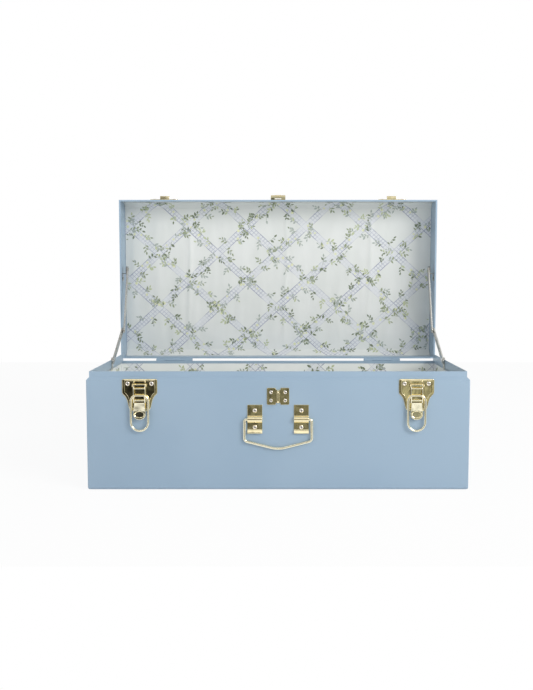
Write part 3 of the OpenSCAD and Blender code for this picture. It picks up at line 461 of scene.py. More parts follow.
def rounded(points, radii):
    """A path in a plane through the points, with a bend of its radius at each, as close points."""
    path = [np.array(points[0], float)]
    for i in range(1, len(points) - 1):
        p, a, b = (np.array(points[k], float) for k in (i, i - 1, i + 1))
        u, v = (a - p) / np.linalg.norm(a - p), (b - p) / np.linalg.norm(b - p)
        half = math.acos(max(-1, min(1, float(u @ v)))) / 2
        back = radii[i] / math.tan(half)
        centre = p + (u + v) / np.linalg.norm(u + v) * radii[i] / math.sin(half)
        first, last = p + u * back - centre, p + v * back - centre
        total = math.pi - 2 * half
        turn = math.copysign(1, first[0] * last[1] - first[1] * last[0])
        n = max(6, int(radii[i] * total / BEND_STEP))
        for k in range(n + 1):
            t = turn * total * k / n
            c, s = math.cos(t), math.sin(t)
            q = centre + np.array([first[0] * c - first[1] * s, first[0] * s + first[1] * c])
            if np.linalg.norm(q - path[-1]) > LEAST_STEP:
                path.append(q)
    path.append(np.array(points[-1], float))
    full = [path[0]]
    for q in path[1:]:
        n = max(1, int(np.linalg.norm(q - full[-1]) / STRAIGHT_STEP))
        start = full[-1]
        full += [start + (q - start) * k / n for k in range(1, n + 1)]
    return full


# Rings of a wire's rounded end, each as (share of its radius, share of the radius ahead)
END_RINGS = ((0.82, 0.16), (0.5, 0.24))


def wire(name, path, out, radius, body, look, slot, *stands_for, count=16):
    """Round wire along a path of (x, z) in the plane y = out, all in millimetres."""
    verts, faces = [], []
    n = len(path)
    for i, p in enumerate(path):
        way = path[min(i + 1, n - 1)] - path[max(i - 1, 0)]
        way = way / np.linalg.norm(way)
        side = np.array([-way[1], way[0]])
        for k in range(count):
            a = 2 * math.pi * k / count
            q = p + side * math.cos(a) * radius
            verts.append((q[0] * MM, (out + math.sin(a) * radius) * MM, q[1] * MM))
    for i in range(n - 1):
        for k in range(count):
            j = (k + 1) % count
            faces.append((i * count + k, i * count + j, (i + 1) * count + j, (i + 1) * count + k))
    for end, at, way in ((0, 0, path[0] - path[1]), (1, n - 1, path[-1] - path[-2])):
        way = way / np.linalg.norm(way)
        base = [at * count + k for k in range(count)]
        for inset, ahead in END_RINGS:
            ring = []
            for x, y, z in verts[at * count : (at + 1) * count]:
                p = path[at]
                q = (
                    (p[0] + (x / MM - p[0]) * inset + way[0] * ahead * radius) * MM,
                    (out + (y / MM - out) * inset) * MM,
                    (p[1] + (z / MM - p[1]) * inset + way[1] * ahead * radius) * MM,
                )
                ring.append(len(verts))
                verts.append(q)
            for k in range(count):
                j = (k + 1) % count
                quad = (base[k], base[j], ring[j], ring[k])
                faces.append(quad if end else tuple(reversed(quad)))
            base = ring
        faces.append(tuple(base) if end else tuple(reversed(base)))
    piece = new_object(name, verts, faces, [look])
    bm = bmesh.new()
    bm.from_mesh(piece.data)
    bmesh.ops.recalc_face_normals(bm, faces=bm.faces)
    bm.to_mesh(piece.data)
    bm.free()
    even_normals(piece, 50)
    attach(piece, body, slot, *stands_for)


# Print

rng = np.random.default_rng(20)
# Sprays along one side of a diamond, and the shares of them that are left out, that lie backward and
# that have a blossom
SPRAYS, LEFT_OUT, BACKWARD_SHARE, BLOSSOM_SHARE = 6, 0.12, 0.35, 0.45
# A leaf's outline, as (share of its length, share of its half width)
LEAF_SHAPE = (
    (0, 0), (0.16, 0.55), (0.42, 1.0), (0.72, 0.66), (1, 0), (0.72, -0.66), (0.42, -1.0), (0.16, -0.55),
)
# Where a stem's leaves stand, as (share of its length, side)
LEAF_PLACES = ((0.25, 1), (0.45, -1), (0.62, 1), (0.8, -1), (1.0, 0))
LEAF_MISSING = 0.1
# A sprig's own tone is drawn from these inks
TONES = [0, 1, 1, 2, 3, 3]
# In metres: half a stem's width, the bare margin at the cloth's edges, and how far past them the
# middle of a row of sprays may be
STEM_HALF, MARGIN, OVERHANG = 0.00022, 0.0006, 0.04


def leaf(base, way, length, width):
    """The outline of one leaf, slightly bent to a side."""
    side = np.array([-way[1], way[0]])
    bend = rng.uniform(-0.12, 0.12)
    points = []
    for t, w in LEAF_SHAPE:
        points.append(base + way * length * t + side * (w * width / 2 + bend * length * t * t))
    return points


def sprig(start, way, size):
    """A stem with leaves, as [(ink, points)]."""
    shapes = []
    side = np.array([-way[1], way[0]])
    curl = rng.uniform(-0.35, 0.35)
    stem = [start + way * size * t + side * size * curl * t * t for t in (0, 0.35, 0.7, 1.0)]
    for a, b in zip(stem[:-1], stem[1:]):
        w = (b - a) / np.linalg.norm(b - a)
        s = np.array([-w[1], w[0]]) * STEM_HALF
        shapes.append((STEM, [a - s, b - s, b + s, a + s]))
    tone = int(rng.choice(TONES))
    for t, turn in LEAF_PLACES:
        if rng.uniform() < LEAF_MISSING and turn:
            continue
        p = start + way * size * t + side * size * curl * t * t
        a = turn * rng.uniform(0.7, 1.15) + 2 * curl * t
        c, s = math.cos(a), math.sin(a)
        d = np.array([way[0] * c - way[1] * s, way[0] * s + way[1] * c])
        long = rng.uniform(0.0046, 0.0074) * (1.1 - 0.25 * t)
        shade = tone if rng.uniform() < 0.65 else int(rng.choice(list(range(LEAF_TONES))))
        shapes.append((shade, leaf(p + d * 0.0003, d, long, long * rng.uniform(0.42, 0.56))))
    return shapes


def dot(centre, radius, corners):
    turns = np.linspace(0, 2 * math.pi, corners + 1)[:-1]
    return [centre + np.array([math.cos(a), math.sin(a)]) * radius for a in turns]


def blossom(centre, size):
    """Five round petals about a middle, as [(ink, points)]."""
    spin = rng.uniform(0, 6.28)
    shapes = []
    for k in range(5):
        a = spin + k * 2 * math.pi / 5
        petal = centre + np.array([math.cos(a), math.sin(a)]) * size * 0.62
        shapes.append((PETAL, dot(petal, size * 0.5, 8)))
    shapes.append((MIDDLE, dot(centre, size * 0.28, 6)))
    return shapes


def garland(u0, u1, v0, v1, shift):
    """The leafy sprays that run along the trellis inside a rectangle, as [(ink, points)]."""
    shapes = []
    low = np.array([u0, v0]) + MARGIN
    high = np.array([u1, v1]) - MARGIN
    reach = int(max(abs(u0), abs(u1), abs(v0), abs(v1)) / min(PITCH_X, PITCH_V)) * 2 + 4
    for turn in (1, -1):
        way = np.array([PITCH_X, -turn * PITCH_V]) / 2
        span = np.linalg.norm(way)
        way = way / span
        side = np.array([-way[1], way[0]])
        for n in range(-reach, reach + 1):
            for m in range(-reach, reach + 1):
                start = np.array([(n + m) / 2 * PITCH_X, turn * (n - m) / 2 * PITCH_V]) + shift
                middle = start + way * span / 2
                if (middle < low - OVERHANG).any() or (middle > high + OVERHANG).any():
                    continue
                flip = 1 if rng.uniform() < 0.5 else -1
                for k in range(SPRAYS):
                    t = (k + 0.5 + rng.uniform(-0.28, 0.28)) / SPRAYS
                    flip = -flip
                    if rng.uniform() < LEFT_OUT:
                        continue
                    p = start + way * span * t + side * flip * rng.uniform(0.0, 0.0045)
                    a = flip * rng.uniform(0.25, 1.2)
                    if rng.uniform() < BACKWARD_SHARE:
                        a = math.pi - a
                    d = way * math.cos(a) + side * math.sin(a)
                    shapes += sprig(p, d, rng.uniform(0.009, 0.0145))
                    if rng.uniform() < BLOSSOM_SHARE:
                        shapes += blossom(p + way * rng.uniform(-0.006, 0.006), rng.uniform(0.0014, 0.0022))
    kept = []
    for shade, points in shapes:
        q = np.array(points)
        if (q > low).all() and (q < high).all():
            kept.append((shade, points))
    return kept


# How far the print's shapes lie off the cloth, in metres, and the step between shapes that cross
LIFT, LIFT_STEP = 0.00009, 0.00002


def decals(name, patches, body, slot):
    """Ink shapes laid on surfaces. patches is [(shapes, to3d)], where to3d(u, v, lift) gives a point."""
    verts, faces, tones = [], [], []
    for shapes, to3d in patches:
        for k, (shade, points) in enumerate(shapes):
            lift = LIFT + LIFT_STEP * (k % 4)
            faces.append(tuple(range(len(verts), len(verts) + len(points))))
            verts += [to3d(p[0], p[1], lift) for p in points]
            tones.append(shade)
    piece = new_object(name, verts, faces, INKS, tones, smooth=False)
    attach(piece, body, slot)


def sheet_faces(base, rows, cols, behind):
    """Faces and tones of a grid of corners, of the same grid behind it in a tone, and of their rim."""
    back = base + rows * cols
    faces, tones = [], []
    for r in range(rows - 1):
        for c in range(cols - 1):
            i = r * cols + c
            faces.append((base + i, base + i + 1, base + i + cols + 1, base + i + cols))
            faces.append((back + i, back + i + cols, back + i + cols + 1, back + i + 1))
            tones += [0, behind]
    ring = list(range(cols)) + [r * cols + cols - 1 for r in range(1, rows)]
    ring += [(rows - 1) * cols + c for c in range(cols - 2, -1, -1)]
    ring += [r * cols for r in range(rows - 2, 0, -1)]
    for i, j in zip(ring, ring[1:] + ring[:1]):
        faces.append((base + j, base + i, back + i, back + j))
        tones.append(1)
    return faces, tones


def cloth(name, verts, faces, tones, look, place_of, angle):
    """A printed sheet, whose faces of tone 1 are card; place_of gives each corner's place on the print."""
    piece = new_object(name, verts, faces, [look, card_edge], tones)
    uv = piece.data.uv_layers.new(name="print")
    for loop in piece.data.loops:
        uv.data[loop.index].uv = place_of[loop.vertex_index]
    even_normals(piece, angle)
    return piece


# Lid lining

# The lining's inner face stands at LID_FACE_Y on the panel and turns with the radius LID_R on to the
# front and back walls. Along it runs s: the height on the panel, then the way round the bends.
LID_FACE_Y, LID_FRONT_Z, LID_BACK_Z, LID_R = 177.117, 397.117, 149.717, 8.7
LID_CARD, BACK_TURN = 0.5, 2.0
BEND = LID_R * math.pi / 2
TOP_S, LOW_S = LID_FRONT_Z - LID_R, LID_BACK_Z + LID_R
lining_low, lining_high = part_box("lid_lining")
LID_HALF = lining_high.x / MM
RIM_Y = lining_low.y / MM
S_MAX = TOP_S + BEND + (LID_FACE_Y - LID_R - RIM_Y)
S_MIN = LOW_S - BEND - BACK_TURN
PRINT_SHIFT = np.array([-0.1465, 0.3596])
CREASES, CREASE_HIGH, CREASE_WIDE = (-144.8, 12.2, 149.4), 1.3, 3.4
STREAK_HIGH = 0.045
WAVES = [(rng.uniform(14, 60), rng.uniform(0, 6.28), rng.uniform(-0.16, 0.16)) for _ in range(9)]


def fade(value, wide):
    """From 0 to 1, softly, while the value goes from 0 to wide."""
    t = min(1.0, max(0.0, value / wide))
    return t * t * (3 - 2 * t)


def crease(x, s, at):
    off = (x - at - 2.2 * math.sin(s / 41)) / CREASE_WIDE
    return CREASE_HIGH * math.exp(-(off**2)) * (0.75 + 0.25 * math.sin(s / 37 + at))


def billow(x, s):
    """How far the lid lining stands off its panel, in millimetres, at x across and s along it."""
    hold = fade(min(s - LOW_S, TOP_S - s), 26) * fade(LID_HALF - abs(x), 14)
    folds = sum(crease(x, s, at) for at in CREASES)
    streaks = sum(
        STREAK_HIGH * (1 + length / 30) * (1 + math.sin(2 * math.pi * (x + lean * s) / length + start))
        for length, start, lean in WAVES
    )
    return hold * (folds + streaks)


def on_lid(x, s, lift=0.0):
    """A point of the lid lining's inner face, in metres, at x across and s along it in mm."""
    if s > TOP_S:
        share = min((s - TOP_S) / BEND, 1.0)
        y = LID_FACE_Y - LID_R * share - max(0.0, s - TOP_S - BEND)
        z = TOP_S + LID_R * share
        into = (-math.cos(share * math.pi / 2), -math.sin(share * math.pi / 2))
        lift += 0.35 * fade(s - TOP_S - BEND - 4, 10) * fade(S_MAX - s, 8) * (0.5 + 0.5 * math.sin(x / 23))
    elif s < LOW_S:
        share = min((LOW_S - s) / BEND, 1.0)
        y = LID_FACE_Y - LID_R * share - max(0.0, LOW_S - s - BEND)
        z = LOW_S - LID_R * share
        into = (-math.cos(share * math.pi / 2), math.sin(share * math.pi / 2))
    else:
        y, z, into = LID_FACE_Y, s, (-1.0, 0.0)
    lift += billow(x, s)
    return Vector((x, y + into[0] * lift, z + into[1] * lift)) * MM


def lid_cloth():
    xs = np.linspace(-LID_HALF, LID_HALF, 281)
    bends = [LOW_S - BEND + BEND * k / 8 for k in range(9)] + [TOP_S + BEND * k / 8 for k in range(9)]
    flats = [S_MIN] + list(np.linspace(LOW_S, TOP_S, 62)[1:-1])
    flats += list(np.linspace(TOP_S + BEND, S_MAX, 12)[1:])
    ss = sorted(bends + flats)
    front = [on_lid(x, s) for s in ss for x in xs]
    behind = [on_lid(x, s, -LID_CARD - billow(x, s)) for s in ss for x in xs]
    place_of = [(x * MM - PRINT_SHIFT[0], s * MM - PRINT_SHIFT[1]) for s in ss for x in xs] * 2
    faces, tones = sheet_faces(0, len(ss), len(xs), 0)
    piece = cloth("lid_lining_cloth", front + behind, faces, tones, lid_cloth_painted_shade, place_of, 30)
    attach(piece, "lid", "printed_lining", "lid_lining")


lid_cloth()
lid_print = garland(-LID_HALF * MM, LID_HALF * MM, S_MIN * MM, S_MAX * MM, PRINT_SHIFT)
decals(
    "lid_lining_leaves",
    [(lid_print, lambda u, v, lift: on_lid(u / MM, v / MM, lift / MM))],
    "lid",
    "printed_lining",
)

# Body lining

IN_X, IN_Y, FLOOR_Z, CARD = 248.0, 123.0, 2.8, 0.4
LINING_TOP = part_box("body_lining")[1].z / MM
RIPPLE_HIGH = 0.06
RIPPLES = [(rng.uniform(25, 90), rng.uniform(0, 6.28), rng.uniform(-0.2, 0.2)) for _ in range(6)]


def ripple(u, v, wide, high):
    """How far a side of the body lining stands in at u across and v up, in millimetres."""
    hold = fade(min(u, wide - u), 12) * fade(min(v, high - v), 12)
    return hold * sum(
        RIPPLE_HIGH * (1 + math.sin(2 * math.pi * (u + lean * v) / length + start))
        for length, start, lean in RIPPLES
    )


class Panel:
    """One flat side of the body lining: origin, the two ways across it and the way into the box."""

    def __init__(self, origin, across, up, wide, high, shift):
        self.origin, self.across, self.up = Vector(origin), Vector(across), Vector(up)
        self.into = self.across.cross(self.up)
        self.wide, self.high, self.shift = wide, high, np.array(shift)

    def point(self, u, v, lift=0.0):
        rise = ripple(u, v, self.wide, self.high)
        return (self.origin + self.across * u + self.up * v + self.into * (rise + lift)) * MM

    def back(self, u, v):
        return (self.origin + self.across * u + self.up * v - self.into * CARD) * MM


WALL = LINING_TOP - FLOOR_Z
PANELS = [
    Panel((IN_X, -IN_Y, FLOOR_Z), (-1, 0, 0), (0, 0, 1), 2 * IN_X, WALL, (0.013, 0.03)),
    Panel((-IN_X, IN_Y, FLOOR_Z), (1, 0, 0), (0, 0, 1), 2 * IN_X, WALL, (0.020, 0.045)),
    Panel((-IN_X, -IN_Y, FLOOR_Z), (0, 1, 0), (0, 0, 1), 2 * IN_Y, WALL, (0.035, 0.025)),
    Panel((IN_X, IN_Y, FLOOR_Z), (0, -1, 0), (0, 0, 1), 2 * IN_Y, WALL, (0.008, 0.040)),
    Panel((-IN_X, -IN_Y, FLOOR_Z), (1, 0, 0), (0, 1, 0), 2 * IN_X, 2 * IN_Y, (0.029, 0.017)),
]


def body_cloth():
    verts, faces, tones, place_of = [], [], [], []
    for panel in PANELS:
        us = np.linspace(0, panel.wide, int(panel.wide / 5) + 1)
        vs = np.linspace(0, panel.high, int(panel.high / 5) + 1)
        added, shades = sheet_faces(len(verts), len(vs), len(us), 1)
        faces += added
        tones += shades
        verts += [panel.point(u, v) for v in vs for u in us]
        verts += [panel.back(u, v) for v in vs for u in us]
        place_of += [(u * MM - panel.shift[0], v * MM - panel.shift[1]) for v in vs for u in us] * 2
    piece = cloth("body_lining_cloth", verts, faces, tones, body_cloth_painted_light, place_of, 60)
    attach(piece, "trunk", "printed_lining", "body_lining")


body_cloth()
decals(
    "body_lining_leaves",
    [
        (
            garland(0, p.wide * MM, 0, p.high * MM, p.shift),
            lambda u, v, lift, p=p: p.point(u / MM, v / MM, lift / MM),
        )
        for p in PANELS
    ],
    "trunk",
    "printed_lining",
)

# Painted sheet

softened("body_shell", "trunk", blue, "blue_paint", 0.35)
softened("body_bottom", "trunk", blue, "blue_paint", 0.3)
softened("neck_frame", "trunk", blue, "blue_paint", 0.3)
softened("lid_shell", "lid", blue, "blue_paint", 0.35)
for side in ("left", "right"):
    softened("lid_end_" + side, "lid", blue, "blue_paint", 0.3)
    softened("hinge_leaf_body_" + side, "trunk", blue, "blue_paint", 0.2)
    softened("hinge_leaf_lid_" + side, "lid", blue, "blue_paint", 0.2)
    softened("hinge_pin_" + side, "trunk", blue, "blue_paint", 0.15)

# Fittings


BRACKET_FRONT_Y, LIP_BEND_LOW, LIP_BEND_HIGH = -126.1, 79.5, 83


def on_face(corner):
    """Whether a bracket's corner is on its front, away from the tight bend above its lip."""
    return corner.y < BRACKET_FRONT_Y and not LIP_BEND_LOW < corner.z < LIP_BEND_HIGH


for side in ("left", "right"):
    softened("latch_pin_" + side, "trunk", brass, "brass", 0.15)
    softened("strike_" + side, "lid", brass, "brass", 0.3)
    softened("handle_bracket_" + side, "trunk", brass, "brass", 0.38, segments=3, clamp=False, only=on_face)
    softened("stay_bracket_body_" + side, "trunk", steel, "nickel", 0.2)
    softened("stay_bracket_lid_" + side, "lid", steel, "nickel", 0.2)
    softened("stay_lower_" + side, "stay_lower_" + side, steel, "nickel", 0.25)
    softened("stay_upper_" + side, "stay_upper_" + side, steel, "nickel", 0.25)
softened("hasp_staple", "trunk", brass, "brass", 0.38, segments=3, clamp=False)
softened("hasp_leaf", "lid", brass, "brass", 0.25)
softened("hasp_pin", "lid", brass, "brass", 0.15)
softened("hasp_flap", "hasp_flap", brass, "brass", 0.3)

FORWARD, BACKWARD, UPWARD, DOWNWARD = (0, -1, 0), (0, 1, 0), (0, 0, 1), (0, 0, -1)
# Heights of rivet heads
HEAD, LOW_HEAD, FLAT_HEAD = 1.2, 0.7, 0.5
rivets("latch_rivets", "trunk", lambda c: FORWARD, HEAD)
rivets("staple_rivets", "trunk", lambda c: FORWARD, LOW_HEAD)
rivets("handle_rivets", "trunk", lambda c: FORWARD, HEAD)
rivets("hinge_rivets_body", "trunk", lambda c: BACKWARD, HEAD, blue, "blue_paint", False)
rivets("hinge_rivets_lid", "lid", lambda c: DOWNWARD, HEAD, blue, "blue_paint", False)
rivets("strike_rivets", "lid", lambda c: UPWARD, HEAD)
rivets("hasp_rivets", "lid", lambda c: UPWARD, HEAD)
rivets("stay_rivets_body", "trunk", lambda c: (-c.x, 0, 0), FLAT_HEAD, steel, hollow=False)
rivets("stay_rivets_lid", "lid", lambda c: (-c.x, 0, 0), LOW_HEAD, steel, hollow=False)

# Draw latches

# Out is the distance from the trunk's front, which stands at FRONT_Y. An ear holds the lever's pin.
FRONT_Y, SHOULDER_Z, LATCH_X = -125.0, 145.0, 180.0
PIN_Z, PIN_OUT, EAR_R, EAR_IN, EAR_T, EAR_FOOT = 138.5, 4.2, 1.9, 8.3, 0.9, 0.8
LOOP_Z, LOOP_OUT, LOOP_HALF, LOOP_R, LOOP_END = 124.4, 4.4, 11.2, 1.5, 79.2

# The plate's half outline and the inner edge of its raised border, each point as
# (distance from the middle, drop below the shoulder)
PLATE_EDGE = [
    (20.8, -1.8), (22.4, -1.2), (23, 0.4), (23, 15.5), (22.3, 17.9), (20, 20.1), (18.1, 22.5),
    (16.5, 26.1), (15.4, 30.9), (14.5, 34.7), (13.5, 37.7), (11.5, 39.6), (9.5, 40.3),
]
PLATE_FIELD = [
    (18.9, 0.6), (19.5, 0.8), (19.7, 1.4), (19.7, 14.4), (19.1, 16.2), (17.5, 17.9), (15.3, 20.7),
    (13.6, 24.9), (12.4, 29.9), (11.5, 33.6), (10.7, 35.8), (9.8, 36.7), (8.8, 37.0),
]
# The plate's section from its foot to its field, as (share of the way from edge to field, out)
PLATE_SECTION = [
    (0, 0.0), (0, 0.65), (0.05, 0.92), (0.13, 1.05), (0.06, 0.96), (0.16, 1.12), (0.92, 1.30),
    (1.0, 1.28), (1.1, 1.12),
]
# An ear's edges are rounded over by EAR_ROUND where their angle is over EAR_EDGE, in radians, and they
# reach further out than EARS_ONLY, as no edge of the plate does. An ear's foot is EAR_SPREAD wider at
# both ends than its round head.
EAR_ROUND, EAR_EDGE, EARS_ONLY, EAR_SPREAD = 0.25, 1.2, 2, 0.6


def between(a, b, t):
    """The outline that lies a share t of the way from outline a to outline b."""
    return [(p[0] + (q[0] - p[0]) * t, p[1] + (q[1] - p[1]) * t) for p, q in zip(a, b)]


def latch_plate(side, x):
    """The stamped plate: a border that slopes up to a ridge round a flat field, and two ears."""
    bm = bmesh.new()
    rings = []
    for share, out in PLATE_SECTION:
        half = between(PLATE_EDGE, PLATE_FIELD, share)
        ring = half + [(-a, b) for a, b in reversed(half)]
        corners = [((x + a) * MM, (FRONT_Y - out) * MM, (SHOULDER_Z - b) * MM) for a, b in ring]
        rings.append([bm.verts.new(c) for c in corners])
    n = len(rings[0])
    for low, high in zip(rings[:-1], rings[1:]):
        for i in range(n):
            j = (i + 1) % n
            bm.faces.new((low[i], low[j], high[j], high[i]))
    bm.faces.new(rings[0])
    bm.faces.new(list(reversed(rings[-1])))
    for s in (-1, 1):
        tab = [(EAR_FOOT, PIN_Z + EAR_R + EAR_SPREAD), (EAR_FOOT, PIN_Z - EAR_R - EAR_SPREAD)]
        tab += [
            (PIN_OUT + EAR_R * math.cos(a), PIN_Z + EAR_R * math.sin(a))
            for a in np.linspace(-math.pi / 2, math.pi / 2, 15)
        ]
        sides = [
            [bm.verts.new(((x + s * (EAR_IN + t)) * MM, (FRONT_Y - out) * MM, z * MM)) for out, z in tab]
            for t in (0, EAR_T)
        ]
        for i in range(len(tab)):
            j = (i + 1) % len(tab)
            bm.faces.new((sides[0][i], sides[0][j], sides[1][j], sides[1][i]))
        bm.faces.new(sides[0])
        bm.faces.new(list(reversed(sides[1])))
    bmesh.ops.recalc_face_normals(bm, faces=bm.faces)
    sharp = [e for e in bm.edges if e.calc_face_angle(0) > EAR_EDGE]
    tabs = [e for e in sharp if min(v.co.y for v in e.verts) < (FRONT_Y - EARS_ONLY) * MM]
    round_over(bm, tabs, EAR_ROUND)
    piece = from_bmesh("latch_plate_" + side, bm, brass)
    even_normals(piece, 25)
    attach(piece, "trunk", "brass", "latch_base_" + side)


# The lever is one stamped sheet: a channel with three windows and a rolled barrel for the loop's
# ends, then a thumb tongue that stands out to a hollow at its end. WINDOWS gives the top and foot of
# each window.
LEVER_HALF, LEVER_T, CHEEK_IN, CHEEK_END, FOLD = 8.0, 0.8, 1.9, 115.9, 0.8
WINDOWS = ((137.6, 135.25), (134.05, 126.7), (124.7, 116.2))
WINDOW_U = 0.84
# Where the grid's columns stand from the middle, in shares of the half width, and down the cheek
COLUMNS = [0, 0.12, 0.24, 0.35, 0.45, 0.54, 0.62, 0.69, 0.75, 0.80, WINDOW_U]
COLUMNS += [0.88, 0.91, 0.94, 0.97, 0.985, 1.0]
CHEEK_COLUMNS = [1.33, 1.66, 2.0]
BARREL_R = 2.4
TONGUE_TOP, TONGUE_KNEE, THUMB_Z, THUMB_HALF, THUMB_END = 115.5, 104.8, 101.0, 8.1, 93.8
TONGUE_OUT, THUMB_OUT, WAIST = 4.85, 6.4, 1.0
HOLLOW_Z, HOLLOW_WIDE, HOLLOW_HIGH, HOLLOW_IN, CURL = 100.7, 6.6, 4.3, 2.0, 0.9
BAR_Z, BAR_OUT, BAR_R = 118.9, 3.2, 1.1


def lever_rows():
    """The line down the middle of the lever's front, as (z, out)."""
    rows = [(140.1, 5.2), (140.0, 5.45), (139.8, 5.6), (139.5, 5.65), (138.6, 5.65), (137.6, 5.65)]
    rows += [(135.25, 5.2), (135.0, 5.5), (134.65, 5.65), (134.3, 5.5), (134.05, 5.2)]
    for a in np.radians(np.linspace(74, 7, 9)):
        rows.append((LOOP_Z + BARREL_R * math.sin(a), LOOP_OUT + BARREL_R * math.cos(a)))
    rows += [(123.4, 6.6), (122.2, 6.2), (121.0, 5.8), (119.6, 5.4), (117.9, 5.05), (116.2, 4.75)]
    rows += [(CHEEK_END, 4.72), (TONGUE_TOP, TONGUE_OUT)]
    for t in np.linspace(0, 1, 14)[1:]:
        out = TONGUE_OUT + (THUMB_OUT - TONGUE_OUT) * t
        rows.append((TONGUE_TOP + (TONGUE_KNEE - TONGUE_TOP) * t, out))
    for z in np.linspace(TONGUE_KNEE, THUMB_Z, 11)[1:]:
        rows.append((z, THUMB_OUT))
    for a in np.linspace(0, math.radians(84), 20)[1:]:
        rows.append((THUMB_Z - (THUMB_Z - THUMB_END) * math.sin(a), THUMB_OUT))
    return rows


def thumb_edge(x, z):
    """How far a point of the tongue lies inside its outline."""
    if z >= THUMB_Z:
        return tongue_half(z) - abs(x)
    return (1 - math.hypot(x / THUMB_HALF, (THUMB_Z - z) / (THUMB_Z - THUMB_END))) * THUMB_HALF


def tongue_half(z):
    """Half the tongue's width, which narrows by WAIST at its top and to nothing at its end."""
    if z >= THUMB_Z:
        return THUMB_HALF - WAIST * fade(z - THUMB_Z, TONGUE_TOP - THUMB_Z)
    return THUMB_HALF * math.sqrt(max(0.0, 1 - ((THUMB_Z - z) / (THUMB_Z - THUMB_END)) ** 2))


def lever_point(u, z, out):
    """A point of the lever's front; beyond 1 either way, u runs down the cheek."""
    if z > TONGUE_TOP:
        x = LEVER_HALF * max(-1.0, min(1.0, u))
        bend = max(0.0, abs(x) - LEVER_HALF + FOLD)
        out -= FOLD - math.sqrt(FOLD * FOLD - bend * bend)
        if abs(u) > 1:
            out += (CHEEK_IN + 1.2 * fade(z - PIN_Z + 1.5, 3) - out) * min(1.0, abs(u) - 1)
        return x, out
    x = u * tongue_half(z)
    near = max(0.0, 1 - thumb_edge(x, z) / CURL)
    out -= CURL * (1 - math.sqrt(max(0.0, 1 - near * near)))
    hollow = math.hypot(x / HOLLOW_WIDE, (z - HOLLOW_Z) / HOLLOW_HIGH)
    return x, out - HOLLOW_IN * (1 - fade(hollow - 0.90, 0.12))


def latch_lever(side, x):
    """The lever's sheet as a grid with its windows left out, thickened, and the bar across it."""
    half = COLUMNS + CHEEK_COLUMNS
    us = [-u for u in reversed(half[1:])] + half
    rows = lever_rows()
    bm = bmesh.new()
    grid = []
    for z, out in rows:
        line = [lever_point(u, z, out) for u in us]
        grid.append([bm.verts.new(((x + a) * MM, (FRONT_Y - b) * MM, z * MM)) for a, b in line])
    for r in range(len(rows) - 1):
        high, low = rows[r][0], rows[r + 1][0]
        for c in range(len(us) - 1):
            middle = abs(us[c] + us[c + 1]) / 2
            if middle > 1 and low < CHEEK_END - 0.01:
                continue
            if middle < WINDOW_U and any(a >= high and low >= b for a, b in WINDOWS):
                continue
            bm.faces.new((grid[r][c], grid[r + 1][c], grid[r + 1][c + 1], grid[r][c + 1]))
    bmesh.ops.delete(bm, geom=[v for v in bm.verts if not v.link_faces], context="VERTS")
    bmesh.ops.recalc_face_normals(bm, faces=bm.faces)
    thicken(bm, LEVER_T * MM)
    bar_end = x - LEVER_HALF + LEVER_T / 2
    profile = [(BAR_R * MM, 0.0), (BAR_R * MM, (2 * LEVER_HALF - LEVER_T) * MM)]
    verts, faces = turned(profile, (1, 0, 0), Vector((bar_end, FRONT_Y - BAR_OUT, BAR_Z)) * MM)
    ends = [bm.verts.new(v) for v in verts]
    for face in faces:
        bm.faces.new([ends[i] for i in face])
    piece = from_bmesh("latch_thumb_lever_" + side, bm, pale_brass)
    rim = piece.modifiers.new("rim", "BEVEL")
    rim.width = 0.12 * MM
    rim.segments = 2
    rim.limit_method = "ANGLE"
    rim.angle_limit = math.radians(55)
    rim.use_clamp_overlap = True
    even_normals(piece, 40)
    attach(piece, "latch_lever_" + side, "brass", "latch_lever_" + side)


def thicken(bm, thick):
    """Closes an open sheet: a copy of it set back by thick, and a rim round every edge."""
    bm.normal_update()
    faces = list(bm.faces)
    if sum(f.normal.y for f in faces) > 0:
        bmesh.ops.reverse_faces(bm, faces=faces)
        bm.normal_update()
    behind = {v: bm.verts.new(v.co - v.normal * thick) for v in list(bm.verts)}
    open_edges = [e for e in bm.edges if len(e.link_faces) == 1]
    for e in open_edges:
        loop = e.link_loops[0]
        a, b = loop.vert, loop.link_loop_next.vert
        bm.faces.new((b, a, behind[a], behind[b]))
    for f in faces:
        bm.faces.new([behind[v] for v in reversed(f.verts)])


for side, s in (("left", -1), ("right", 1)):
    latch_plate(side, s * LATCH_X)
    latch_lever(side, s * LATCH_X)

# Wires

# A loop's two halves end JOINT past the middle of its foot, each JOINT_GAP short of it, in radians.
# Each half starts at STUB in the barrel, leaves it at BEND_START, curves past BEND_TURN and BEND_TOP,
# and is upright from SHOULDER_END down.
JOINT, JOINT_GAP = math.radians(18), 0.012
STUB, BEND_START, BEND_TURN, BEND_TOP, SHOULDER_END = 6.3, 7.7, 11.0, 122.6, 116.5
BRIDGE_X, BRIDGE_Z, BRIDGE_FOOT, BRIDGE_OUT, BRIDGE_R = 7.4, 144.6, 141.4, 1.5, 0.8


def curve(start, turn, end, t):
    """A value on the way from start to end, drawn toward turn."""
    return start * (1 - t) ** 2 + turn * 2 * t * (1 - t) + end * t * t


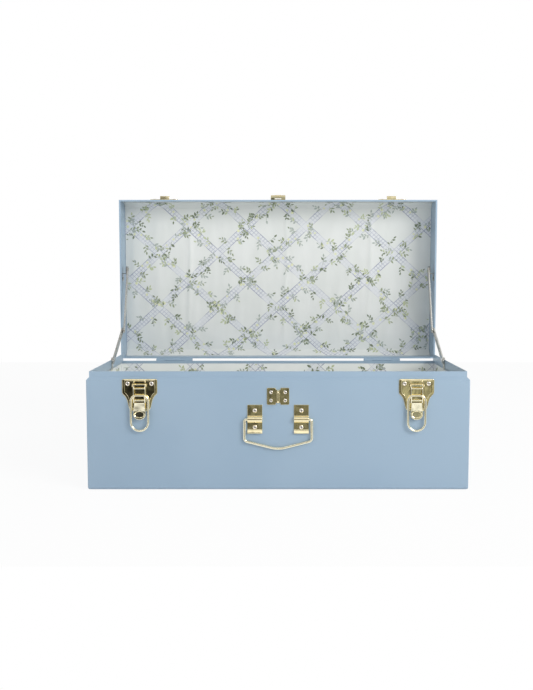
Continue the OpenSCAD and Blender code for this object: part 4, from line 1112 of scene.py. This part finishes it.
def loop_halves(x):
    """The middle lines of a loop's two halves, from the barrel to the joint near the foot."""
    foot_z = LOOP_END + LOOP_HALF
    near_span, far_span = math.pi / 2 - JOINT - JOINT_GAP, math.pi / 2 + JOINT - JOINT_GAP
    near_turns = [math.pi / 2 - near_span * k / 14 for k in range(15)]
    far_turns = [-math.pi / 2 + far_span * k / 22 for k in range(23)]
    upper = [(STUB, LOOP_Z)]
    for t in np.linspace(0, 1, 12):
        across = curve(BEND_START, BEND_TURN, LOOP_HALF, t)
        upper.append((across, curve(LOOP_Z, BEND_TOP, SHOULDER_END, t)))
    upper += [(LOOP_HALF, z) for z in np.linspace(SHOULDER_END, foot_z, 10)[1:-1]]
    halves = {}
    for half, way, turns in (("near", 1, near_turns), ("far", -1, far_turns)):
        path = [(x + way * a, z) for a, z in upper]
        path += [(x + LOOP_HALF * math.sin(a), foot_z - LOOP_HALF * math.cos(a)) for a in turns]
        halves[half] = [np.array(q) for q in path]
    return halves


for side, s in (("left", -1), ("right", 1)):
    x = s * LATCH_X
    for half, path in loop_halves(x).items():
        wire(
            "latch_loop_wire_" + side + "_" + half, path, FRONT_Y - LOOP_OUT, LOOP_R,
            "latch_loop_" + side, pale_brass, "brass", "latch_loop_" + side,
        )
    near, far = x + BRIDGE_X, x - BRIDGE_X
    corners = [(far, BRIDGE_FOOT), (far, BRIDGE_Z), (near, BRIDGE_Z), (near, BRIDGE_FOOT)]
    bridge = rounded(corners, [0, 1.4, 1.4, 0])
    wire("latch_bridge_" + side, bridge, FRONT_Y - BRIDGE_OUT, BRIDGE_R, "trunk", brass, "brass")

HANDLE_Z, HANDLE_X, CORNER_Z, MIDDLE_Z = 94.0, 44.0, 65.5, 54.5
HANDLE_END, HANDLE_Y, HANDLE_R = 21.6, -127.7, 1.75
handle_path = rounded(
    [(HANDLE_END, HANDLE_Z), (HANDLE_X, HANDLE_Z), (HANDLE_X, CORNER_Z), (0, MIDDLE_Z),
     (-HANDLE_X, CORNER_Z), (-HANDLE_X, HANDLE_Z), (-HANDLE_END, HANDLE_Z)],
    [0, 3, 5, 40, 5, 3, 0],
)
wire("handle_bail_wire", handle_path, HANDLE_Y, HANDLE_R, "handle_bail", pale_brass, "brass", "handle_bail")

# Studio

FLOOR_HALF, FLOOR_NEAR, FLOOR_FAR = 1.3, -0.42, 1.5
# The white that camera and mirrors see is this much of full, so that a shadow still shows in it
WHITE_SHARE = 0.92
floor_edge = [(-1, FLOOR_NEAR), (1, FLOOR_NEAR), (1, FLOOR_FAR), (-1, FLOOR_FAR)]
floor_corners = [(a * FLOOR_HALF, y, 0) for a, y in floor_edge]
white_floor = bpy.data.materials.new("floor")
white_floor.use_nodes = True
floor = new_object("floor", floor_corners, [(0, 1, 2, 3)], [white_floor])
floor.location.z = -0.0003
tree = Graph(white_floor.node_tree)
paths = tree.add("ShaderNodeLightPath")
matte = tree.add("ShaderNodeBsdfDiffuse", {"Color": (0.92, 0.92, 0.92), "Roughness": 0.6})
glow = tree.add("ShaderNodeEmission", {"Color": (1, 1, 1), "Strength": 1.0})
direct = tree.math("MAXIMUM", paths.outputs["Is Camera Ray"], tree.glossy(paths))
seen = tree.math("MULTIPLY", direct, WHITE_SHARE)
blend = tree.add("ShaderNodeMixShader", {0: seen, 1: matte.outputs[0], 2: glow.outputs[0]})
floor_out = tree.add("ShaderNodeOutputMaterial")
tree.tree.links.new(blend.outputs[0], floor_out.inputs[0])

world = bpy.data.worlds.new("studio")
scene.world = world
world.use_nodes = True
sky = Graph(world.node_tree)
paths = sky.add("ShaderNodeLightPath")
way = sky.add("ShaderNodeTexCoord").outputs["Generated"]
parts = sky.add("ShaderNodeSeparateXYZ", {"Vector": way})
# A flat fitting on the front mirrors the dark end of the room, behind the camera.
high = sky.math("MULTIPLY", sky.math("ADD", parts.outputs[2], 0.15), 1.6)
squares = [sky.math("POWER", value, 2.0) for value in (parts.outputs[0], high)]
off = sky.math("SQRT", sky.math("ADD", *squares))
shape = sky.noise(way, 11, 2)
edge = sky.math("ADD", off, sky.math("MULTIPLY", sky.math("SUBTRACT", shape, 0.5), 0.22))
behind = sky.step(parts.outputs[1], -0.3, -0.1, 1, 0)
dark = sky.math("MULTIPLY", sky.step(edge, 0.34, 0.52, 1, 0), behind)
glimmer = sky.math(
    "MULTIPLY", sky.step(parts.outputs[0], -0.19, 0.2, 0.015, 0.25), sky.step(shape, 0.38, 0.64, 0.5, 2.2)
)
dim = sky.add(
    "ShaderNodeCombineXYZ", {0: glimmer, 1: glimmer, 2: sky.math("MULTIPLY", glimmer, 0.75)}
).outputs[0]
# The rest of the room is lighter above than below, with soft darker places.
above = sky.step(parts.outputs[2], -0.3, 0.3, 0.78, 1.0)
room = sky.math("MULTIPLY", above, sky.step(sky.noise(way, 4.2, 2), 0.42, 0.58, 0.42, 1.14))
walls = sky.add("ShaderNodeCombineXYZ", {0: room, 1: room, 2: sky.math("MULTIPLY", room, 0.98)}).outputs[0]
mirrored = sky.add("ShaderNodeBackground", {"Color": sky.mix(dark, walls, dim), "Strength": 1.0})
bright = sky.step(parts.outputs[2], -0.45, 0.7, 1.30, 0.54)
soft = sky.add("ShaderNodeBackground", {"Color": (0.97, 0.985, 1.0), "Strength": bright})
white = sky.add("ShaderNodeBackground", {"Color": (1, 1, 1), "Strength": 1.0})
lit = sky.add("ShaderNodeMixShader", {0: sky.glossy(paths), 1: soft.outputs[0], 2: mirrored.outputs[0]})
final = sky.add(
    "ShaderNodeMixShader", {0: paths.outputs["Is Camera Ray"], 1: lit.outputs[0], 2: white.outputs[0]}
)
world_out = sky.add("ShaderNodeOutputWorld")
sky.tree.links.new(final.outputs[0], world_out.inputs[0])

key_data = bpy.data.lights.new("key", "AREA")
key_data.shape = "RECTANGLE"
key_data.size, key_data.size_y = 1.2, 1.0
key_data.energy = 26
key_data.color = (1.0, 0.99, 0.97)
key = bpy.data.objects.new("key", key_data)
key.location = (1.55, -1.6, 1.2)
key.rotation_euler = (Vector((0, 0, 0.2)) - key.location).to_track_quat("-Z", "Y").to_euler()
scene.collection.objects.link(key)

scene.view_settings.view_transform = "Standard"
